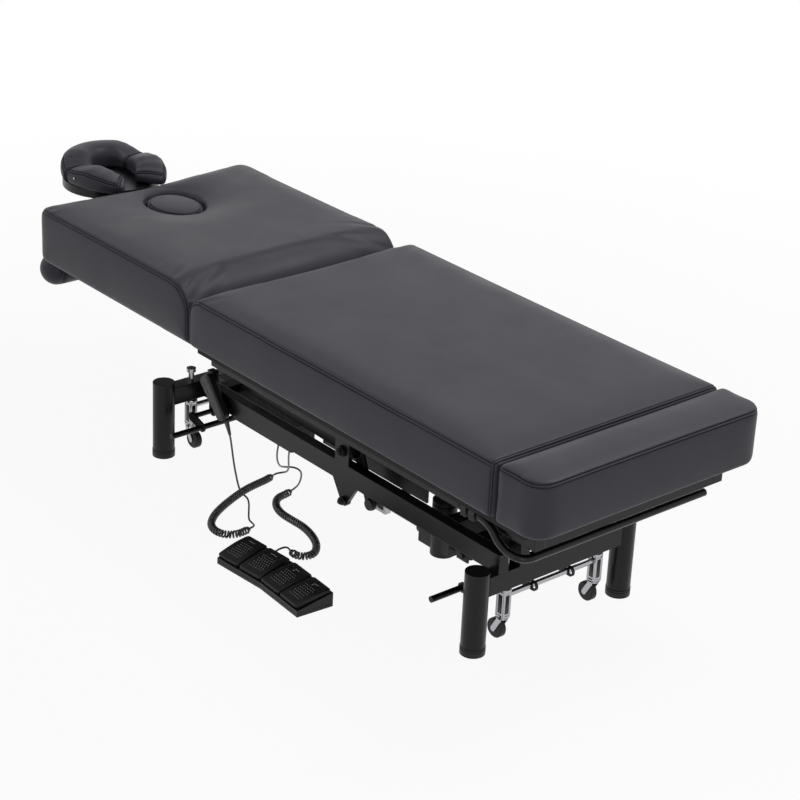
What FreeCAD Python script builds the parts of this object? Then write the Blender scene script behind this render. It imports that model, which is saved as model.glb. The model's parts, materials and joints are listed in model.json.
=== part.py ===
import FreeCAD, Part
import math
import os

from FreeCAD import Rotation, Vector

# Electric lift treatment table, millimetres. Origin on the floor under the middle of the base.
# +X points to the foot end, -Y is the near side, +Z is up. Rest is the lowest height, lying flat.

X_AXIS = Vector(1, 0, 0)
Y_AXIS = Vector(0, 1, 0)
Z_AXIS = Vector(0, 0, 1)
CUT_OVERRUN = 5.0
SEAT_GAP = 0.3
PIN_CLEARANCE = 0.05
OPEN_PIVOT_CLEARANCE = 0.6
SIDE_GAP = 2.0

# Base frame
LEG_X = 634.0
LEG_Y = 240.0
LEG_RADIUS = 30.0
LEG_HEIGHT = 217.0
LEG_CAP_THICK = 4.0
FOOT_CAP_HEIGHT = 20.0
FOOT_CAP_GROOVE_DEPTH = 1.2
FOOT_CAP_GROOVE_HEIGHT = 3.0
FOOT_CAP_GROOVE_Z = 14.0
FOOT_CAP_PROUD = 1.0
BEAM_WIDTH = 40.0
BEAM_HEIGHT = 50.0
BEAM_TOP = 200.0
RAIL_WIDTH = 30.0
RAIL_HEIGHT = 50.0
RAIL_OUTER_Y = 192.0
RAIL_HEAD_X = -500.0
STRETCHER_WIDTH = 40.0
STRETCHER_Y = 100.0
TIE_WIDTH = 40.0
HEAD_TIE_X = -470.0
MOTOR_TIE_X = 454.0
FOOT_TIE_INSET = 74.0
REST_POST_WIDTH = 29.0
REST_PAD_THICK = 6.0
BOLT_RADIUS = 5.0
BOLT_HEAD_RADIUS = 8.5
BOLT_HEAD_THICK = 6.0

# Lift linkage
ARM_LENGTH = 430.0
ARM_HALF_DEPTH = 30.0
ARM_WIDTH = 30.0
LIFT_PIVOT_X = 70.0
LIFT_PIVOT_Z = 283.0
BED_PIVOT_Z = 297.0
LIFT_TRAVEL_DEG = 48.0
PIVOT_RADIUS = 10.0
PIVOT_HEAD_RADIUS = 15.0
PIVOT_HEAD_THICK = 6.0
PLATE_THICK = 12.0
PLATE_HALF_WIDTH = 27.0
PLATE_RISE = 26.0
LUG_X = 83.0
LUG_Z = 151.0
LUG_RADIUS = 15.0
LUG_TOP_HALF = 46.0
LEVER_LENGTH = 150.0
LEVER_THICK = 8.0
LEVER_END_RADIUS = 17.0
EAR_THICK = 10.0
EAR_HALF_WIDTH = 24.0

# Lift actuator
ACTUATOR_Y = -102.0
ACTUATOR_EYE_THICK = 18.0
ACTUATOR_EYE_RADIUS = 17.0
ACTUATOR_EYE_WALL = 8.0
ACTUATOR_ROD_RADIUS = 10.0
ACTUATOR_TUBE_RADIUS = 18.0
ACTUATOR_TUBE_START_X = 280.0
ACTUATOR_GEAR_START_X = 296.0
ACTUATOR_GEAR_END_X = 408.0
ACTUATOR_GEAR_HALF_Y = 24.0
ACTUATOR_GEAR_HALF_Z = 28.0
ACTUATOR_TAIL_RADIUS = 14.0
MOTOR_X = 360.0
MOTOR_RADIUS = 31.0
MOTOR_BOTTOM_Z = 98.0
MOTOR_TOP_Z = 246.0
MOTOR_RING_DEPTH = 1.5
MOTOR_RING_HEIGHT = 4.0
MOTOR_RING_DROP = 12.0
ROD_INSIDE = 12.0

# Bed frame
CHASSIS_Y = 110.0
CHASSIS_WIDTH = 30.0
CHASSIS_HEIGHT = 50.0
CHASSIS_HEAD_OVERHANG = 40.0
CHASSIS_FOOT_X = 656.0
APRON_THICK = 6.0
APRON_BOTTOM = 204.0
APRON_HEAD_X = -118.0
APRON_FOOT_X = 292.0
BED_RAIL_Y = 285.0
BED_RAIL_WIDTH = 30.0
BED_RAIL_HEIGHT = 40.0
BED_RAIL_HEAD_X = -335.0
BED_RAIL_FOOT_X = 872.0
BED_CROSS_XS = (-300.0, 90.0, 430.0, 640.0)
BED_CROSS_WIDTH = 40.0
BED_CROSS_GAP_HALF_Y = 55.0
BOARD_THICK = 18.0
SEAT_BOARD_INSET = 24.0

# Cushions
SEAT_HEAD_X = -345.0
SEAT_FOOT_X = 791.0
SEAT_HALF_WIDTH = 360.0
SEAT_BOTTOM_Z = 450.0
SEAT_TOP_Z = 590.0
FOOT_HEAD_X = 793.0
FOOT_END_X = 935.0
FOOT_CORNER_RADIUS = 62.0
BACK_HEAD_X = -1091.0
BACK_FOOT_X = -348.0
BACK_HALF_WIDTH = 349.0
BACK_BOTTOM_Z = 444.0
BACK_TOP_Z = 596.0
BACK_NOSE_RADIUS = 85.0
CUSHION_CROWN = 8.0
CUSHION_LEVEL_SHARES = (1.0, 0.6, 0.28, 0.06)
CUSHION_CROWN_SHARES = (0.97, 0.7, 0.35)
CUSHION_SIDE_DRAW = 3.0
CUSHION_EDGE_RADIUS = 13.0
CUSHION_CORNER_RADIUS = 16.0
SEAT_HEAD_EDGE_RADIUS = 36.0
SEAT_FOOT_EDGE_RADIUS = 14.0
CUSHION_BOTTOM_TUCK = 9.0
FACE_HOLE_X = -928.0
FACE_HOLE_HALF_X = 98.0
FACE_HOLE_HALF_Y = 79.0
PLUG_SIDE_CLEARANCE = 0.4
PLUG_CROWN = 5.0
PLUG_RECESS = 6.0
PLUG_LEDGE_INSET = 12.0

# Back section
BACK_BOARD_THICK = 12.0
BACK_BOARD_INSET = 30.0
BACK_BOARD_FOOT_X = -458.0
BACK_RAIL_Y = 257.0
BACK_RAIL_SIZE = 30.0
BACK_RAIL_HEAD_X = -985.0
BACK_RAIL_FOOT_X = -462.0
BACK_CROSS_XS = (-830.0, -477.0)
BACK_TILT_DEG = 58.0
HINGE_PLATE_THICK = 8.0
HINGE_BRACKET_Y = 266.0
HINGE_EAR_Y = 276.0
HINGE_BOSS_RADIUS = 20.0
HINGE_PIN_RADIUS = 8.0
HINGE_SLOT_HALF_WIDTH = 14.0
HINGE_BRACKET_FOOT_X = -240.0
CRANK_LENGTH = 130.0
CRANK_THICK = 8.0
CRANK_END_RADIUS = 14.0
CRANK_PIN_RADIUS = 8.0

# Back actuator
BACK_ACTUATOR_EYE_THICK = 16.0
BACK_ROD_RADIUS = 9.0
BACK_TUBE_RADIUS = 16.0
BACK_TUBE_START_X = -235.0
BACK_GEAR_START_X = -60.0
BACK_GEAR_END_X = 32.0
BACK_GEAR_HALF_Y = 24.0
BACK_GEAR_HALF_Z = 26.0
BACK_MOTOR_RADIUS = 26.0
BACK_MOTOR_X = -14.0
BACK_MOTOR_BOTTOM_Z = 300.0
BACK_TAIL_X = 54.0

# Head bolster and face cradle
BOLSTER_X = -1146.0
BOLSTER_RADIUS = 50.0
BOLSTER_HALF_LENGTH = 251.0
BOLSTER_STRAP_THICK = 3.0
BOLSTER_STRAP_HALF = 15.0
BOLSTER_STRAP_Y = 170.0
BOLSTER_STRAP_FOOT_X = -1020.0
SOCKET_Y = 100.0
SOCKET_RADIUS = 10.0
SOCKET_BORE_RADIUS = 6.05
SOCKET_DEPTH = 170.0
SOCKET_RISE = 11.0
POST_RADIUS = 6.0
POST_INSIDE = 140.0
CRADLE_CROSS_X = -1160.0
CRADLE_CROSS_HALF = 14.0
CRADLE_SLIDE = 90.0
CRADLE_CENTRE_X = -1250.0
CRADLE_RING_RADIUS = 98.0
CRADLE_PAD_RADIUS = 48.0
CRADLE_PAD_SIDES = 20
CRADLE_PAD_FLAT = 24.0
CRADLE_PAD_CENTRE_Z = 600.0
CRADLE_PAD_GAP_DEG = 1.0
CRADLE_CREST_HALF_DEG = 56.0
CRADLE_CHEEK_END_DEG = 52.0
CRADLE_PLATFORM_THICK = 24.0
CRADLE_PLATFORM_INNER = 40.0
CRADLE_PLATFORM_OUTER = 138.0
CRADLE_ARM_THICK = 8.0
CRADLE_ARM_HALF = 11.0
CRADLE_PIVOT_RISE = 26.0
CRADLE_EAR_Y = 84.0
CRADLE_ARM_GAP = 1.5
CRADLE_ARM_TOP_X = -1196.0
CRADLE_ARM_TRIM = 40.0
LEVER_PIN_RADIUS = 4.0
CAM_LEVER_LENGTH = 70.0
CAM_LEVER_HALF = 6.0
CAM_LEVER_THICK = 7.0
CAM_LEVER_BOSS = 11.0

# Paper roll bar
BAR_RADIUS = 9.5
BAR_START_X = 640.0
BAR_DIP_X = 735.0
BAR_DROP = 48.0
BAR_END_X = 851.0
BAR_FREE_Y = 266.0
BAR_BEND_RADIUS = 58.0
BAR_DIP_BEND_RADIUS = 60.0
CLAMP_XS = (662.0, 690.0)
CLAMP_HALF_LENGTH = 9.0
CLAMP_WALL = 3.0

# Casters
CASTER_Y = 150.0
CASTER_DROP = 22.0
CASTER_ROD_RADIUS = 8.0
CASTER_ROD_TOP_Z = 236.0
CASTER_NUT_RADIUS = 13.0
CASTER_NUT_HEIGHT = 10.0
CASTER_CHANNEL_HALF_X = 13.0
CASTER_CHANNEL_HALF_Y = 11.0
CASTER_CHANNEL_TOP_GAP = 4.0
CASTER_FOOT_Z = 66.0
CASTER_WHEEL_RADIUS = 25.0
CASTER_WHEEL_HALF_WIDTH = 10.0
CASTER_FLOOR_GAP = 4.0
CASTER_TRAIL = 17.0
CASTER_FORK_THICK = 2.5
CASTER_FORK_TOP_HALF = 15.0
CASTER_FORK_GAP = 1.0
CASTER_AXLE_RADIUS = 4.0
CASTER_TYRE_EDGE = 3.0
CASTER_STEM_RADIUS = 4.0
CASTER_STEM_DEPTH = 20.0
CASTER_FORK_CHEEK = 7.0
PEDAL_SHAFT_X_INSET = 58.0
PEDAL_SHAFT_Z = 122.0
PEDAL_SHAFT_RADIUS = 7.0
PEDAL_SHAFT_HALF_LENGTH = 190.0
PEDAL_BAR_REACH = 46.0
PEDAL_BAR_DROP = 14.0
PEDAL_BAR_RADIUS = 8.0
PEDAL_BAR_OUTER_Y = 286.0
PEDAL_CRANK_THICK = 6.0
PEDAL_CRANK_HALF = 13.0
PEDAL_CRANK_YS = (-60.0, 60.0)
PEDAL_HANGER_YS = (-120.0, 120.0)
PEDAL_HANGER_THICK = 5.0
PEDAL_HANGER_HALF = 16.0
PEDAL_TRAVEL_DEG = 20.8
PEDAL_SLOT_PLAY = 1.0
PEDAL_SLOT_REACH = 6.0

# Control box, handset and foot control
BOX_X0 = -430.0
BOX_X1 = -170.0
BOX_DEPTH = 78.0
BOX_BOTTOM_Z = 170.0
BOX_TOP_Z = 242.0
BOX_EDGE = 6.0
GLAND_RADIUS = 6.0
GLAND_LENGTH = 12.0
CORD_RADIUS = 2.6
CURL_RADIUS = 11.0
CURL_END_GAP = 0.7
HANDSET_LENGTH = 128.0
HANDSET_TOP_HALF = 26.0
HANDSET_END_HALF = 19.0
HANDSET_THICK = 24.0
HANDSET_EDGE = 4.0
HANDSET_TILT_DEG = 42.0
HANDSET_CENTRE_X = -440.0
HANDSET_CENTRE_Z = 238.0
HANDSET_OFFSET_Y = 6.0
HANDSET_BUTTON_RADIUS = 6.5
HANDSET_BUTTON_PROUD = 1.6
HANDSET_BUTTON_DEPTH = 3.4
HANDSET_BUTTON_WELL = 4.6
HANDSET_BUTTON_ROWS = (20.0, 40.0)
HANDSET_BUTTON_COLUMN = 10.0
BUTTON_CLEARANCE = 0.3
HOOK_THICK = 3.0
HOOK_HALF_WIDTH = 12.0
HOOK_X = -462.0
HOOK_RISE = 56.0
HOOK_LIP = 14.0
RELIEF_LENGTH = 26.0
RELIEF_BASE_RADIUS = 5.0
FOOTCTL_LEFT_X = -55.0
FOOTCTL_RIGHT_X = 270.0
FOOTCTL_FRONT_Y = -478.0
FOOTCTL_DEPTH = 104.0
FOOTCTL_BACK_HEIGHT = 38.0
FOOTCTL_FRONT_HEIGHT = 17.0
FOOTCTL_BEND_DEG = 4.0
FOOTCTL_PLINTH = 8.0
FOOTCTL_RIM = 5.0
FOOTCTL_RIDGE = 7.0
PEDAL_THICK = 7.0
PEDAL_WELL_DEPTH = 12.0
PEDAL_PROUD = 2.5
PEDAL_TRAVEL = 3.0
PEDAL_GAP = 1.2
PEDAL_PIN_RADIUS = 2.5

# Free cords: the points of each route are chosen by hand
HANDSET_LEAD = [
    (-383.0, -208.0, 169.0), (-372.0, -209.0, 150.0), (-361.0, -211.0, 118.0), (-350.0, -212.0, 78.0),
    (-339.0, -210.5, 40.0), (-329.0, -209.0, 12.5), (-314.0, -207.5, 3.0), (-290.0, -210.0, 2.8),
    (-262.0, -226.0, 2.8), (-226.0, -254.0, 2.8), (-190.0, -281.0, 3.0), (-163.0, -287.0, 6.5),
    (-143.0, -297.0, 11.6), (-139.0, -314.0, 11.6),
]
HANDSET_CURL = [
    (-139.0, -314.0, 11.6), (-134.3, -334.0, 11.4), (-133.0, -358.0, 11.4), (-145.0, -384.0, 11.4),
    (-176.0, -396.0, 11.4), (-213.0, -386.0, 11.4), (-247.0, -352.0, 11.4), (-273.0, -309.0, 11.4),
    (-292.0, -262.0, 14.0), (-309.0, -208.0, 17.6), (-321.0, -160.0, 16.0), (-334.0, -110.0, 11.6),
    (-343.0, -88.0, 11.6),
]
HANDSET_TAIL = [
    (-343.0, -88.0, 11.6), (-349.0, -73.0, 11.0), (-347.0, -52.0, 9.0), (-329.0, -50.0, 18.0),
    (-307.0, -62.0, 42.0), (-283.0, -82.0, 76.0), (-257.0, -103.0, 112.0), (-236.5, -116.0, 139.0),
    (-236.0, -116.0, 157.9),
]
PEDAL_LEAD_BOX = [
    (-282.0, -118.0, 157.9), (-282.5, -117.0, 138.0), (-303.0, -106.0, 104.0), (-326.0, -88.0, 66.0),
    (-350.0, -60.0, 29.0), (-372.0, -27.0, 8.0), (-363.0, 2.0, 2.8), (-333.0, 2.0, 2.8),
    (-300.0, -24.0, 3.4), (-270.0, -56.0, 6.2), (-252.0, -81.0, 11.6), (-245.0, -100.0, 11.6),
]
PEDAL_CURL = [
    (-245.0, -100.0, 11.6), (-237.4, -120.6, 11.4), (-234.0, -156.0, 11.4), (-201.0, -186.0, 11.4),
    (-158.0, -200.0, 11.4), (-112.0, -199.0, 11.4), (-66.0, -197.0, 11.4), (-12.0, -209.0, 11.4),
    (33.0, -231.0, 11.4), (62.0, -262.0, 11.4), (60.0, -293.0, 11.4), (34.0, -308.0, 11.4),
    (14.0, -302.0, 11.6),
]
PEDAL_LEAD_FOOT = [
    (14.0, -302.0, 11.6), (-2.0, -297.2, 11.6), (-10.0, -303.0, 11.0), (-9.0, -323.0, 11.0),
    (0.0, -342.0, 12.6), (4.0, -358.0, 13.0),
]
CORD_BEND_SHARE = 0.45

# The origin handed over is the middle of the floor area that the object covers without its cords
BOX_MIDDLE_X = (FOOT_END_X + CRADLE_CENTRE_X - CRADLE_RING_RADIUS - CRADLE_PAD_RADIUS) / 2
BOX_MIDDLE_Y = (SEAT_HALF_WIDTH + FOOTCTL_FRONT_Y) / 2

# Places that follow from the sizes above
BEAM_BOTTOM = BEAM_TOP - BEAM_HEIGHT
RAIL_TOP = BEAM_TOP + RAIL_HEIGHT
RAIL_INNER_Y = RAIL_OUTER_Y - RAIL_WIDTH
RAIL_FOOT_X = LEG_X + BEAM_WIDTH / 2
ARM_RISE = BED_PIVOT_Z - LIFT_PIVOT_Z
ARM_REST = math.asin(ARM_RISE / ARM_LENGTH)
ARM_REACH = ARM_LENGTH * math.cos(ARM_REST)
FOOT_TIE_X = LEG_X - FOOT_TIE_INSET
FOOT_PIVOT_X = FOOT_TIE_X
HEAD_ARM_END_X = LIFT_PIVOT_X - ARM_REACH
CHASSIS_HEAD_X = HEAD_ARM_END_X - CHASSIS_HEAD_OVERHANG
CHASSIS_OUTER_Y = CHASSIS_Y + CHASSIS_WIDTH / 2
CHASSIS_INNER_Y = CHASSIS_Y - CHASSIS_WIDTH / 2
CHASSIS_BOTTOM = BED_PIVOT_Z - CHASSIS_HEIGHT / 2
CHASSIS_TOP = BED_PIVOT_Z + CHASSIS_HEIGHT / 2
HEAD_ARM_Y = CHASSIS_OUTER_Y + SIDE_GAP + ARM_WIDTH / 2
FOOT_ARM_Y = CHASSIS_INNER_Y - SIDE_GAP - ARM_WIDTH / 2
LEVER_REST = math.radians(LIFT_TRAVEL_DEG / 2)
SHAFT_X = LIFT_PIVOT_X + LEVER_LENGTH * math.sin(LEVER_REST)
SHAFT_Z = LIFT_PIVOT_Z - LEVER_LENGTH * math.cos(LEVER_REST)
SHAFT_RISE = LEVER_LENGTH * (1 - math.cos(LEVER_REST))
ACTUATOR_Z = SHAFT_Z - SHAFT_RISE / 2
BED_FOOT_CROSS_X = BED_RAIL_FOOT_X - BED_CROSS_WIDTH / 2
BED_RAIL_TOP = SEAT_BOTTOM_Z - BOARD_THICK
BED_RAIL_BOTTOM = BED_RAIL_TOP - BED_RAIL_HEIGHT
BED_RAIL_INNER_Y = BED_RAIL_Y - BED_RAIL_WIDTH / 2
BED_RAIL_OUTER_Y = BED_RAIL_Y + BED_RAIL_WIDTH / 2
TILT_X = BACK_FOOT_X - BACK_NOSE_RADIUS
TILT_Z = BACK_TOP_Z - BACK_NOSE_RADIUS
CRANK_REST = math.radians(BACK_TILT_DEG / 2)
CRANK_PIN_X = TILT_X + CRANK_LENGTH * math.sin(CRANK_REST)
CRANK_PIN_Z = TILT_Z - CRANK_LENGTH * math.cos(CRANK_REST)
CRANK_RISE = CRANK_LENGTH * (1 - math.cos(CRANK_REST))
BACK_ACTUATOR_Z = CRANK_PIN_Z - CRANK_RISE / 2
BACK_BOARD_BOTTOM = BACK_BOTTOM_Z - BACK_BOARD_THICK
SOCKET_Z = BACK_BOTTOM_Z + SOCKET_RISE
CRADLE_PIVOT_Z = SOCKET_Z + CRADLE_PIVOT_RISE
CRADLE_PLATFORM_TOP = CRADLE_PAD_CENTRE_Z - CRADLE_PAD_FLAT - SEAT_GAP
CRADLE_PLATFORM_BOTTOM = CRADLE_PLATFORM_TOP - CRADLE_PLATFORM_THICK
BAR_Y = BED_RAIL_OUTER_Y + CLAMP_WALL + BAR_RADIUS
BAR_Z = BED_RAIL_TOP - BED_RAIL_HEIGHT / 2
CASTER_AXLE_Z = CASTER_FLOOR_GAP + CASTER_WHEEL_RADIUS
HANDSET_Y = RAIL_OUTER_Y + HANDSET_OFFSET_Y + HANDSET_THICK / 2


def block(x0, x1, y0, y1, z0, z1):
    """A box between two values on each axis."""
    return Part.makeBox(x1 - x0, y1 - y0, z1 - z0, Vector(x0, y0, z0))


def rod(start, end, radius):
    """A round bar from one point to another."""
    return Part.makeCylinder(radius, (end - start).Length, start, end - start)


def rod_y(x, z, y0, y1, radius):
    """A round bar along Y."""
    return Part.makeCylinder(radius, y1 - y0, Vector(x, y0, z), Y_AXIS)


def rod_z(x, y, z0, z1, radius):
    """A round bar along Z."""
    return Part.makeCylinder(radius, z1 - z0, Vector(x, y, z0), Z_AXIS)


def rod_x(x0, x1, y, z, radius):
    """A round bar along X."""
    return Part.makeCylinder(radius, x1 - x0, Vector(x0, y, z), X_AXIS)


def fuse(shapes):
    """One solid of shapes that touch."""
    shapes = list(shapes)
    result = shapes[0]
    if len(shapes) > 1:
        result = shapes[0].multiFuse(shapes[1:])
    return result.removeSplitter()


def cut(shape, tools):
    """The shape less its tools."""
    return shape.cut(Part.makeCompound(list(tools)))


def mirrored(shape):
    """The same shape on the other side of the XZ plane."""
    return shape.mirror(Vector(0, 0, 0), Y_AXIS)


def both_sides(shape):
    """The shape and its mirror image."""
    return [shape, mirrored(shape)]


def ring(points):
    """A closed wire of straight edges."""
    return Part.makePolygon(list(points) + [points[0]])


def plate_xz(points, y0, y1):
    """A flat plate whose outline lies in XZ."""
    face = Part.Face(ring([Vector(x, y0, z) for x, z in points]))
    return face.extrude(Vector(0, y1 - y0, 0))


def plate_xy(points, z0, z1):
    """A flat plate whose outline lies in XY."""
    face = Part.Face(ring([Vector(x, y, z0) for x, y in points]))
    return face.extrude(Vector(0, 0, z1 - z0))


def link(x0, z0, x1, z1, half, y0, y1):
    """A flat bar with round ends about two pivots in XZ."""
    length = math.hypot(x1 - x0, z1 - z0)
    along = Vector((x1 - x0) / length, 0, (z1 - z0) / length)
    across = Vector(-along.z * half, 0, along.x * half)
    start, end = Vector(x0, y0, z0), Vector(x1, y0, z1)
    face = Part.Face(ring([start + across, end + across, end - across, start - across]))
    body = face.extrude(Vector(0, y1 - y0, 0))
    return fuse([body, rod_y(x0, z0, y0, y1, half), rod_y(x1, z1, y0, y1, half)])


def solids(shape):
    """The solids that a shape holds."""
    return shape.Solids if shape.Solids else [shape]


PIECES = {}


def save(name, shapes):
    """Add shapes to the sub-part of this name."""
    if not isinstance(shapes, (list, tuple)):
        shapes = [shapes]
    PIECES.setdefault(name, []).extend(solid for shape in shapes for solid in solids(shape))


def write_parts():
    """Write one STEP file for each sub-part."""
    os.makedirs("parts", exist_ok=True)
    for name, parts in PIECES.items():
        shape = parts[0] if len(parts) == 1 else Part.makeCompound(parts)
        shape.translate(Vector(-BOX_MIDDLE_X, -BOX_MIDDLE_Y, 0))
        shape.exportStep("parts/" + name + ".step")


def arc_through(first, middle, last):
    """An arc edge through three points."""
    return Part.Arc(first, middle, last).toShape()


def line(first, last):
    """A straight edge."""
    return Part.LineSegment(first, last).toShape()


def base_frame():
    """Legs, cross-beams, side rails and what ties them."""
    legs, leg_caps, foot_caps = [], [], []
    for x in (-LEG_X, LEG_X):
        for y in (-LEG_Y, LEG_Y):
            legs.append(rod_z(x, y, FOOT_CAP_HEIGHT, LEG_HEIGHT - LEG_CAP_THICK, LEG_RADIUS))
            leg_caps.append(rod_z(x, y, LEG_HEIGHT - LEG_CAP_THICK, LEG_HEIGHT, LEG_RADIUS))
            groove_top = FOOT_CAP_GROOVE_Z + FOOT_CAP_GROOVE_HEIGHT
            foot_radius = LEG_RADIUS + FOOT_CAP_PROUD
            foot_caps.append(fuse([
                rod_z(x, y, 0, FOOT_CAP_GROOVE_Z, foot_radius),
                rod_z(x, y, FOOT_CAP_GROOVE_Z, groove_top, foot_radius - FOOT_CAP_GROOVE_DEPTH),
                rod_z(x, y, groove_top, FOOT_CAP_HEIGHT, foot_radius),
            ]))
    save("leg_posts", legs)
    save("leg_caps", leg_caps)
    save("leg_caps", foot_caps)
    for x in (-LEG_X, LEG_X):
        beam = block(x - BEAM_WIDTH / 2, x + BEAM_WIDTH / 2, -LEG_Y, LEG_Y, BEAM_BOTTOM, BEAM_TOP)
        holes = [rod_z(x, y, 0, LEG_HEIGHT, LEG_RADIUS) for y in (-LEG_Y, LEG_Y)]
        guide = CASTER_ROD_RADIUS + PIN_CLEARANCE
        holes += [rod_z(x, y, 0, LEG_HEIGHT, guide) for y in (-CASTER_Y, CASTER_Y)]
        save("cross_beams", cut(beam, holes))
    rail = block(RAIL_HEAD_X, RAIL_FOOT_X, -RAIL_OUTER_Y, -RAIL_INNER_Y, BEAM_TOP, RAIL_TOP)
    guide_room = rod_z(LEG_X, -CASTER_Y, BEAM_TOP, CASTER_ROD_TOP_Z + CUT_OVERRUN,
                       CASTER_NUT_RADIUS + SIDE_GAP)
    save("base_rails", both_sides(cut(rail, [guide_room])))
    ties = []
    for x in (HEAD_TIE_X, MOTOR_TIE_X, FOOT_TIE_X):
        ties.append(block(x - TIE_WIDTH / 2, x + TIE_WIDTH / 2, -RAIL_INNER_Y, RAIL_INNER_Y,
                          BEAM_TOP, RAIL_TOP))
    stretcher = block(-LEG_X + BEAM_WIDTH / 2, HEAD_TIE_X + TIE_WIDTH / 2,
                      -STRETCHER_Y - STRETCHER_WIDTH / 2, -STRETCHER_Y + STRETCHER_WIDTH / 2,
                      BEAM_BOTTOM, BEAM_TOP)
    save("base_ties", ties)
    save("base_ties", both_sides(stretcher))
    pad_top = CHASSIS_BOTTOM - SEAT_GAP
    post = block(LEG_X - BEAM_WIDTH / 2, LEG_X + BEAM_WIDTH / 2,
                 -CHASSIS_Y - REST_POST_WIDTH / 2, -CHASSIS_Y + REST_POST_WIDTH / 2,
                 BEAM_TOP, pad_top - REST_PAD_THICK)
    pad = block(LEG_X - BEAM_WIDTH / 2, LEG_X + BEAM_WIDTH / 2,
                -CHASSIS_Y - REST_POST_WIDTH / 2, -CHASSIS_Y + REST_POST_WIDTH / 2,
                pad_top - REST_PAD_THICK, pad_top)
    save("rest_posts", both_sides(post))
    save("rest_posts", both_sides(pad))


def pivot_plates():
    """The plate on each rail that carries the head arms, the ears of the foot arms and their pins."""
    top = LIFT_PIVOT_Z + PLATE_RISE
    x0, x1 = LIFT_PIVOT_X - PLATE_HALF_WIDTH, LIFT_PIVOT_X + PLATE_HALF_WIDTH
    y0, y1 = -RAIL_OUTER_Y, -RAIL_OUTER_Y + PLATE_THICK
    upper = block(x0, x1, y0, y1, RAIL_TOP, top)
    hole = PIVOT_RADIUS + PIN_CLEARANCE
    upper = cut(upper, [rod_y(LIFT_PIVOT_X, LIFT_PIVOT_Z, y0 - CUT_OVERRUN, y1 + CUT_OVERRUN, hole)])
    lower = fuse([
        plate_xz([(LUG_X - LUG_TOP_HALF, BEAM_TOP), (LUG_X + LUG_TOP_HALF, BEAM_TOP),
                  (LUG_X + LUG_RADIUS, LUG_Z), (LUG_X - LUG_RADIUS, LUG_Z)], y0, y1),
        rod_y(LUG_X, LUG_Z, y0, y1, LUG_RADIUS),
    ])
    bolt_hole = BOLT_RADIUS + PIN_CLEARANCE
    lower = cut(lower, [rod_y(LUG_X, LUG_Z, y0 - CUT_OVERRUN, y1 + CUT_OVERRUN, bolt_hole)])
    save("pivot_plates", both_sides(upper) + both_sides(lower))
    ear_inner = FOOT_ARM_Y - ARM_WIDTH / 2 - SIDE_GAP
    ear = fuse([
        block(FOOT_PIVOT_X - EAR_HALF_WIDTH, FOOT_PIVOT_X + EAR_HALF_WIDTH,
              -ear_inner, -ear_inner + EAR_THICK, RAIL_TOP, LIFT_PIVOT_Z),
        rod_y(FOOT_PIVOT_X, LIFT_PIVOT_Z, -ear_inner, -ear_inner + EAR_THICK, EAR_HALF_WIDTH),
    ])
    ear = cut(ear, [rod_y(FOOT_PIVOT_X, LIFT_PIVOT_Z, -ear_inner - CUT_OVERRUN,
                          -ear_inner + EAR_THICK + CUT_OVERRUN, hole)])
    save("pivot_plates", both_sides(ear))
    head_pin_end = -HEAD_ARM_Y + ARM_WIDTH / 2
    collar_end = -HEAD_ARM_Y - ARM_WIDTH / 2 - SEAT_GAP
    head_pin = fuse([
        rod_y(LIFT_PIVOT_X, LIFT_PIVOT_Z, y0 - PIVOT_HEAD_THICK, y0, PIVOT_HEAD_RADIUS),
        rod_y(LIFT_PIVOT_X, LIFT_PIVOT_Z, y0, head_pin_end, PIVOT_RADIUS),
        rod_y(LIFT_PIVOT_X, LIFT_PIVOT_Z, y1, collar_end, PIVOT_HEAD_RADIUS),
    ])
    foot_pin = fuse([
        rod_y(FOOT_PIVOT_X, LIFT_PIVOT_Z, -FOOT_ARM_Y - ARM_WIDTH / 2, -ear_inner + EAR_THICK,
              PIVOT_RADIUS),
        rod_y(FOOT_PIVOT_X, LIFT_PIVOT_Z, -ear_inner + EAR_THICK,
              -ear_inner + EAR_THICK + PIVOT_HEAD_THICK, PIVOT_HEAD_RADIUS),
    ])
    save("base_pivot_pins", both_sides(head_pin) + both_sides(foot_pin))


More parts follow.
